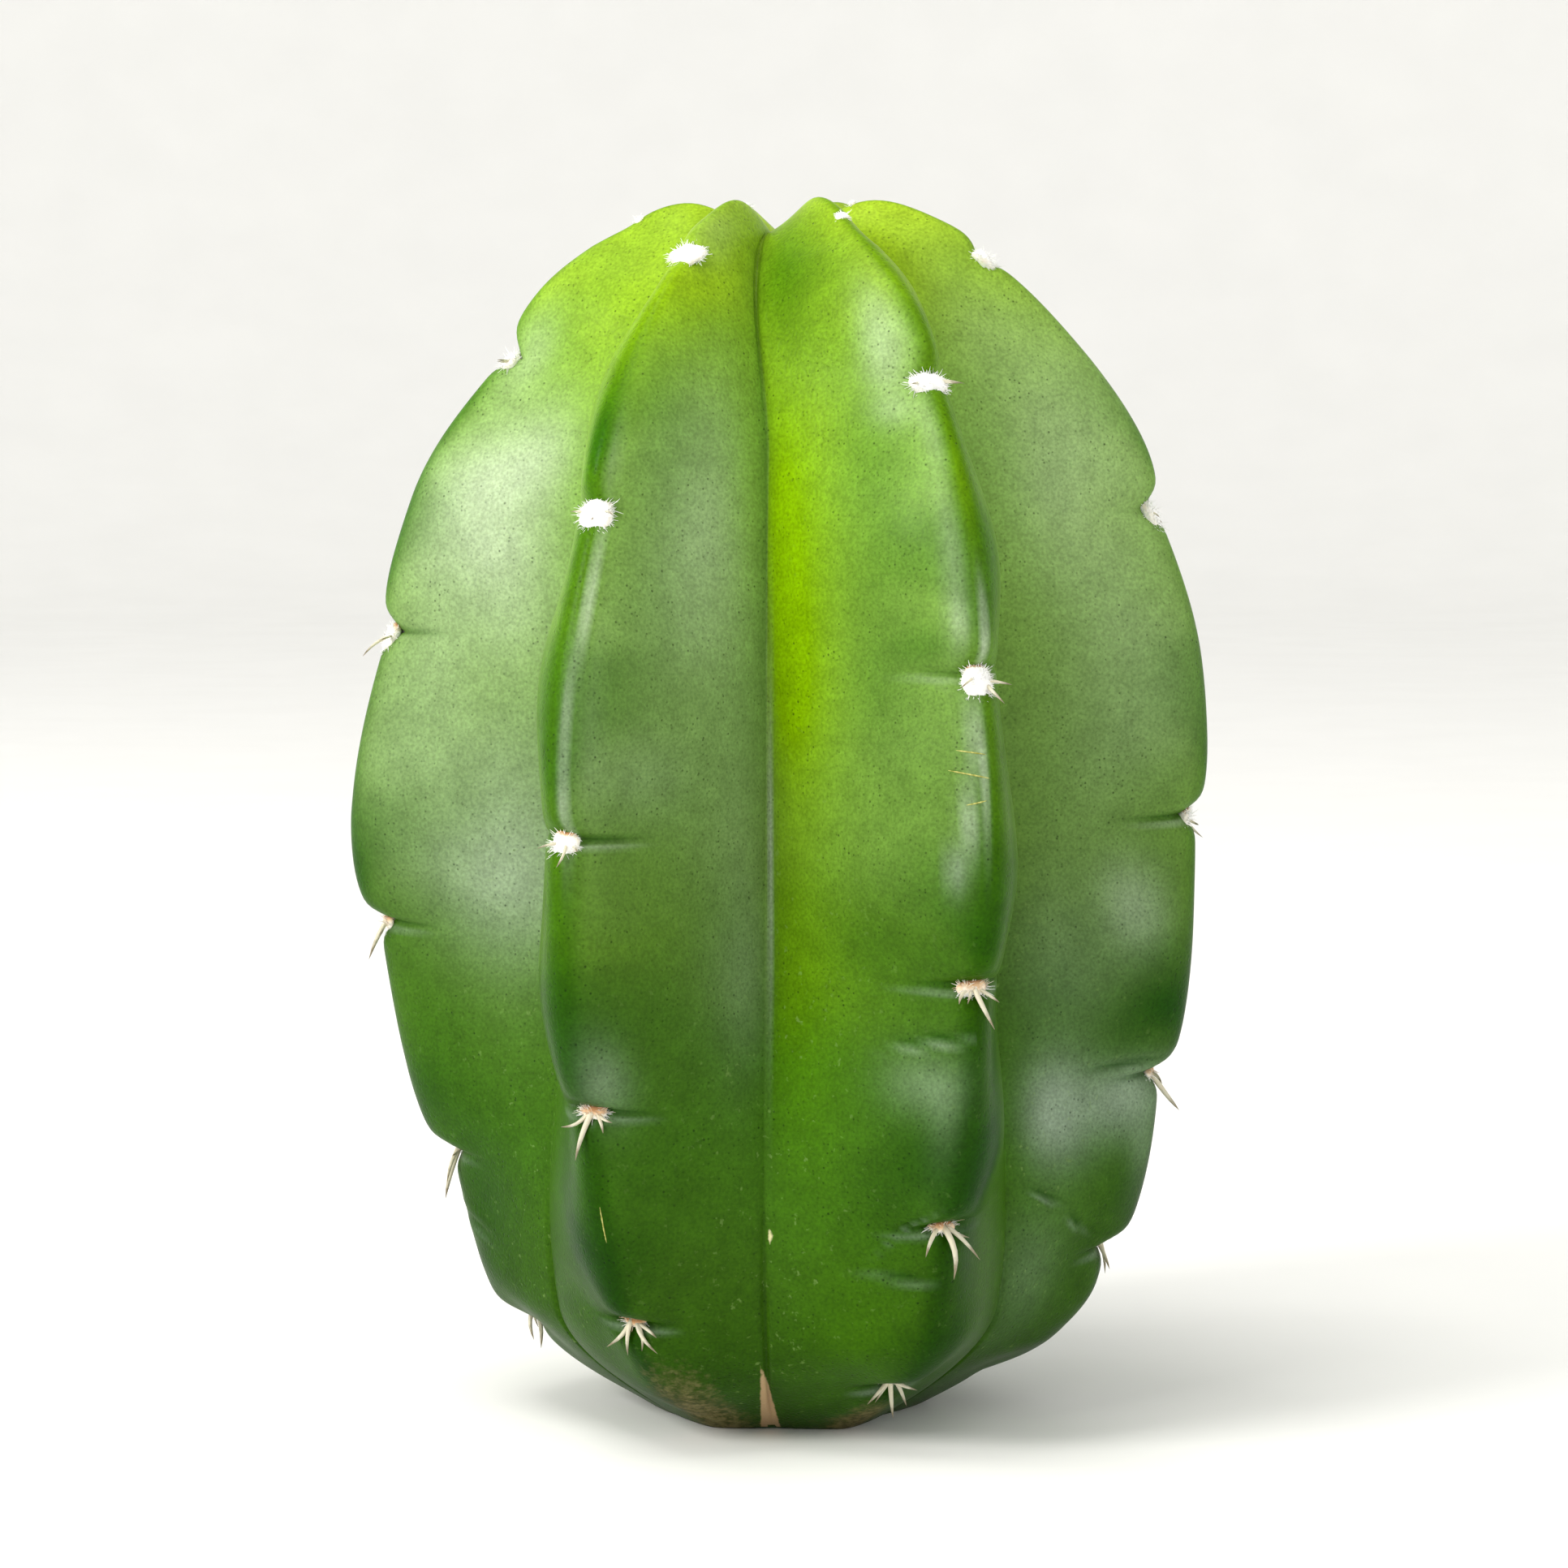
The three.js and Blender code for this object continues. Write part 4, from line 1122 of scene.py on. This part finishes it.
def wool(rib, level):
    """Each areole's lumpy cushion, an egg shape half sunk into the slope below its notch, and
    its hairs, which start all over it and lean outwards in random curls. Old wool is tan and
    worn at its upper edge, and paler below."""
    random = np.random.default_rng(RANDOM_SEED + 1)
    width, length, proud, hairs = (
        np.interp(level, WOOL_SIZES[:, 0], WOOL_SIZES[:, k]) for k in range(1, 5)
    )
    age = ease(level, *WOOL_WEARS)
    below = WOOL_BELOW * ease(level, -1.5, 0) * (1 - 0.5 * age)
    middle, down, sideways, out = seats(rib, level, below, WOOL_REACH)

    # The egg shape, set by its half sizes along three axes, with lumps over it
    lean = np.linspace(0.10, 0.82, WOOL_ROWS)[:, None] * np.pi
    turn = 2 * np.pi * np.arange(WOOL_COLUMNS) / WOOL_COLUMNS
    ball = np.stack(
        [np.sin(lean) * np.cos(turn), np.sin(lean) * np.sin(turn), np.cos(lean) + 0 * turn], axis=-1
    )
    ball = np.concatenate([ball.reshape(-1, 3), [[0, 0, 1.0], [0, 0, -1.0]]])
    half = np.stack([width, length, proud + WOOL_SINK], axis=-1) / 2
    axes = np.stack([sideways, down, out], axis=1)
    centre = middle + out * ((proud - WOOL_SINK) / 2)[:, None]
    points = centre[:, None] + np.einsum("nkj,nji->nki", ball[None] * half[:, None], axes)
    lump = waves(points.reshape(-1, 3), 20, 0.4, 1.2, RANDOM_SEED + 2).reshape(points.shape[:2])
    points += unit(points - centre[:, None]) * (WOOL_LUMP * lump * width[:, None] / 2)[..., None]
    sides = WOOL_ROWS * WOOL_COLUMNS
    start = (np.arange(len(level)) * (sides + 2))[:, None, None]
    number = np.arange(sides).reshape(WOOL_ROWS, WOOL_COLUMNS)
    parts = [
        ring_faces(WOOL_ROWS, WOOL_COLUMNS)[:, ::-1],
        fan_faces(sides, number[0][::-1]),
        fan_faces(sides + 1, number[-1]),
    ]
    core_faces = [(part[None] + start).reshape(-1, part.shape[1]) for part in parts]

    # How worn the egg is: its rim a little, and old wool most at the upper edge
    rim = 1 - ball[:, 2] ** 2
    upper_rim = (ease(level, 1.5, 3.5) * (1 - age))[:, None] * ease(-ball[:, 1], 0.5, 0.9)
    old_worn = age[:, None] * (0.52 - 0.45 * ball[:, 1])
    core_worn = old_worn + (1 - age[:, None]) * 0.30 * ease(rim, 0.5, 1.0)
    core_worn = core_worn + 1.1 * upper_rim

    # Hairs: their roots all over the egg, and how each leans, curls and tapers
    of = np.repeat(np.arange(len(level)), hairs.astype(int))
    count = len(of)
    swing = random.uniform(0, 2 * np.pi, count)
    up = 1 - 1.5 * random.uniform(0, 1, count) ** 0.9
    level_part = np.sqrt(1 - up**2)
    flat = np.stack([level_part * np.cos(swing), level_part * np.sin(swing), up], axis=-1)
    root = centre[of] + np.einsum("nj,nji->ni", flat * half[of] * 0.9, axes[of])
    leaning = flat * np.array([1.0, 1.0, 0.2]) + np.array([0, 0.10, 0.10])
    leaning += random.normal(scale=0.35, size=(count, 3))
    heading = np.einsum("nj,nji->ni", unit(leaning), axes[of])
    curl = random.normal(scale=0.45, size=(count, 3))
    hair_length = HAIR_LENGTH + HAIR_SPARE * random.uniform(0, 1, count) ** 2.0
    hair_length = hair_length * (1 + 0.2 * age[of]) * (0.6 + 0.4 * ease(width[of], 0.5, 2.2))
    step = np.linspace(0, 1, 4)[None, :, None]
    bow = np.sin(step * np.pi * 0.9) * 0.35 + step**2 * 0.5
    curled = heading[:, None] * step + curl[:, None] * bow * 0.6
    paths = root[:, None] + hair_length[:, None, None] * curled
    radii = HAIR_RADIUS * (1 - 0.7 * step[..., 0] ** 2) * random.uniform(0.8, 1.2, (count, 1))
    hair_points, hair_faces = tapered_tubes(paths, radii, 3)
    hair_worn = age[of] * (flat[:, 1] < -0.1) * random.uniform(0.1, 0.8, count)
    hair_worn = np.repeat(hair_worn, len(hair_points) // count)

    shift = points.reshape(-1, 3).shape[0]
    all_points = np.concatenate([points.reshape(-1, 3), hair_points])
    faces = core_faces + [part + shift for part in hair_faces]
    worn = np.concatenate([core_worn.ravel(), hair_worn])
    return add_piece("areole_wool", all_points, faces, matted_areole_wool(), "wool", worn=worn)


def spines(rib, level):
    """Short tapered spines in a fan that points down the crest and out, the middle ones
    furthest out. Each path is a straight line with a slight bow, and the radius falls slowly,
    then quickly to the point."""
    random = np.random.default_rng(RANDOM_SEED + 3)
    middle, down, sideways, out = seats(rib, level, SPINE_BELOW, SPINE_REACH)
    rows = [
        (i, *spine) for i, its_level in enumerate(level) for spine in SPINES.get(int(its_level), [])
    ]
    of = np.array([row[0] for row in rows])
    turn, length, shift, thick = np.array([row[1:] for row in rows]).T
    turn = np.radians(turn + random.normal(scale=5, size=len(of)))
    rise = SPINE_RISE + (CENTRE_SPINE_RISE - SPINE_RISE) * np.maximum(np.cos(turn), 0)
    rise = np.radians(rise + random.normal(scale=5, size=len(of)))
    length = length * random.uniform(0.92, 1.06, len(of))
    flat = down[of] * np.cos(turn)[:, None] + sideways[of] * np.sin(turn)[:, None]
    heading = flat * np.cos(rise)[:, None] + out[of] * np.sin(rise)[:, None]
    root = middle[of] + sideways[of] * shift[:, None] - heading * SPINE_ROOT_DEPTH
    root = root + out[of] * SPINE_START
    step = np.linspace(0, 1, SPINE_STEPS)[None, :, None]
    bow = random.normal(scale=0.10, size=(len(of), 1, 3)) * np.sin(step * np.pi)
    reach = (length + SPINE_ROOT_DEPTH)[:, None, None]
    paths = root[:, None] + reach * (heading[:, None] * step + bow * 0.5)
    paths = paths + reach * 0.06 * step**2 * (down[of] - out[of])[:, None]
    taper = (1 - 0.3 * step[..., 0]) * (1 - step[..., 0] ** 4) + 0.05
    radii = thick[:, None] * taper * random.uniform(0.9, 1.1, (len(of), 1))
    points, faces = tapered_tubes(paths, radii, SPINE_SIDES)
    along = np.repeat(step[0, :, 0], SPINE_SIDES)
    along = np.tile(np.concatenate([along, [0, 1]]), len(of))
    return add_piece("spines", points, faces, ivory_spine(), "spine", along=along)


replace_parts(skin(), "stem")
scratches()
wool(*areole_places())
spines(*areole_places())


# Floor, light and camera: the floor in mm, the rest in metres, watts and degrees

FLOOR_RINGS = (60.0, 200.0, 400.0, 650.0, 900.0)
FLOOR_BEND = 350.0
FLOOR_RIM = 300.0
FLOOR_COLUMNS = 96
SOFT_BOXES = [
    ("window", (-0.55, -0.35, 0.40), 0.26, 3.85, "#fffdf8"),
    ("overhead", (-0.2, -0.12, 0.75), 0.35, 2.25, "#fffdf8"),
    ("fill", (0.55, -0.40, 0.30), 0.5, 0.53, "#fbfcff"),
]
LIGHT_AIM = (0, 0, 0.04)
SKY_COLOUR = "#fbfaf6"
SKY_STRENGTH = 0.73
CAMERA_PLACE = (0.0003, -0.3, 0.0675)
CAMERA_TILT = 5.24
CAMERA_LENS = 108.5


def floor():
    """A pale round sweep: flat, then a quarter circle upwards, then straight, turned round
    the stem's axis, so that it looks the same from every side."""
    bend = np.linspace(0, np.pi / 2, 16)[1:]
    radius = np.concatenate([FLOOR_RINGS, FLOOR_RINGS[-1] + FLOOR_BEND * np.sin(bend)])
    z = np.concatenate([np.zeros(len(FLOOR_RINGS)), FLOOR_BEND * (1 - np.cos(bend))])
    radius, z = np.append(radius, radius[-1]), np.append(z, z[-1] + FLOOR_RIM)
    turn = 2 * np.pi * np.arange(FLOOR_COLUMNS) / FLOOR_COLUMNS
    x, y = np.outer(radius, np.sin(turn)), -np.outer(radius, np.cos(turn))
    rows = np.stack([x, y, np.outer(z, 1 + 0 * turn)], axis=-1)
    points = np.concatenate([rows.reshape(-1, 3), [[0, 0, 0]]])
    faces = [
        ring_faces(len(radius), FLOOR_COLUMNS),
        fan_faces(len(points) - 1, np.arange(FLOOR_COLUMNS)),
    ]
    piece = add_piece("floor", points, faces, pale_paper(), None)


def soft_box(name, place, size, power, colour):
    """A square soft box at a place, facing the stem."""
    data = bpy.data.lights.new(name, "AREA")
    data.shape = "SQUARE"
    data.size = size
    data.energy = power
    data.color = srgb(colour)[:3]
    lamp = bpy.data.objects.new(name, data)
    lamp.location = place
    facing = Vector(LIGHT_AIM) - Vector(place)
    lamp.rotation_euler = facing.to_track_quat("-Z", "Y").to_euler()
    bpy.context.scene.collection.objects.link(lamp)


def sky():
    """Even pale light from all round."""
    world = bpy.data.worlds.new("pale_room")
    world.use_nodes = True
    background = world.node_tree.nodes["Background"]
    background.inputs["Color"].default_value = srgb(SKY_COLOUR)
    background.inputs["Strength"].default_value = SKY_STRENGTH
    bpy.context.scene.world = world


def camera():
    """The photograph's view: from in front, near the top of the stem, tilted down a little."""
    data = bpy.data.cameras.new("camera")
    data.sensor_width = 36
    data.lens = CAMERA_LENS
    data.clip_start = 0.01
    lens = bpy.data.objects.new("camera", data)
    lens.location = CAMERA_PLACE
    lens.rotation_euler = (math.radians(90 - CAMERA_TILT), 0, 0)
    bpy.context.scene.collection.objects.link(lens)
    bpy.context.scene.camera = lens


floor()
sky()
for soft_box_row in SOFT_BOXES:
    soft_box(*soft_box_row)
camera()
bpy.context.scene.view_settings.view_transform = "Standard"
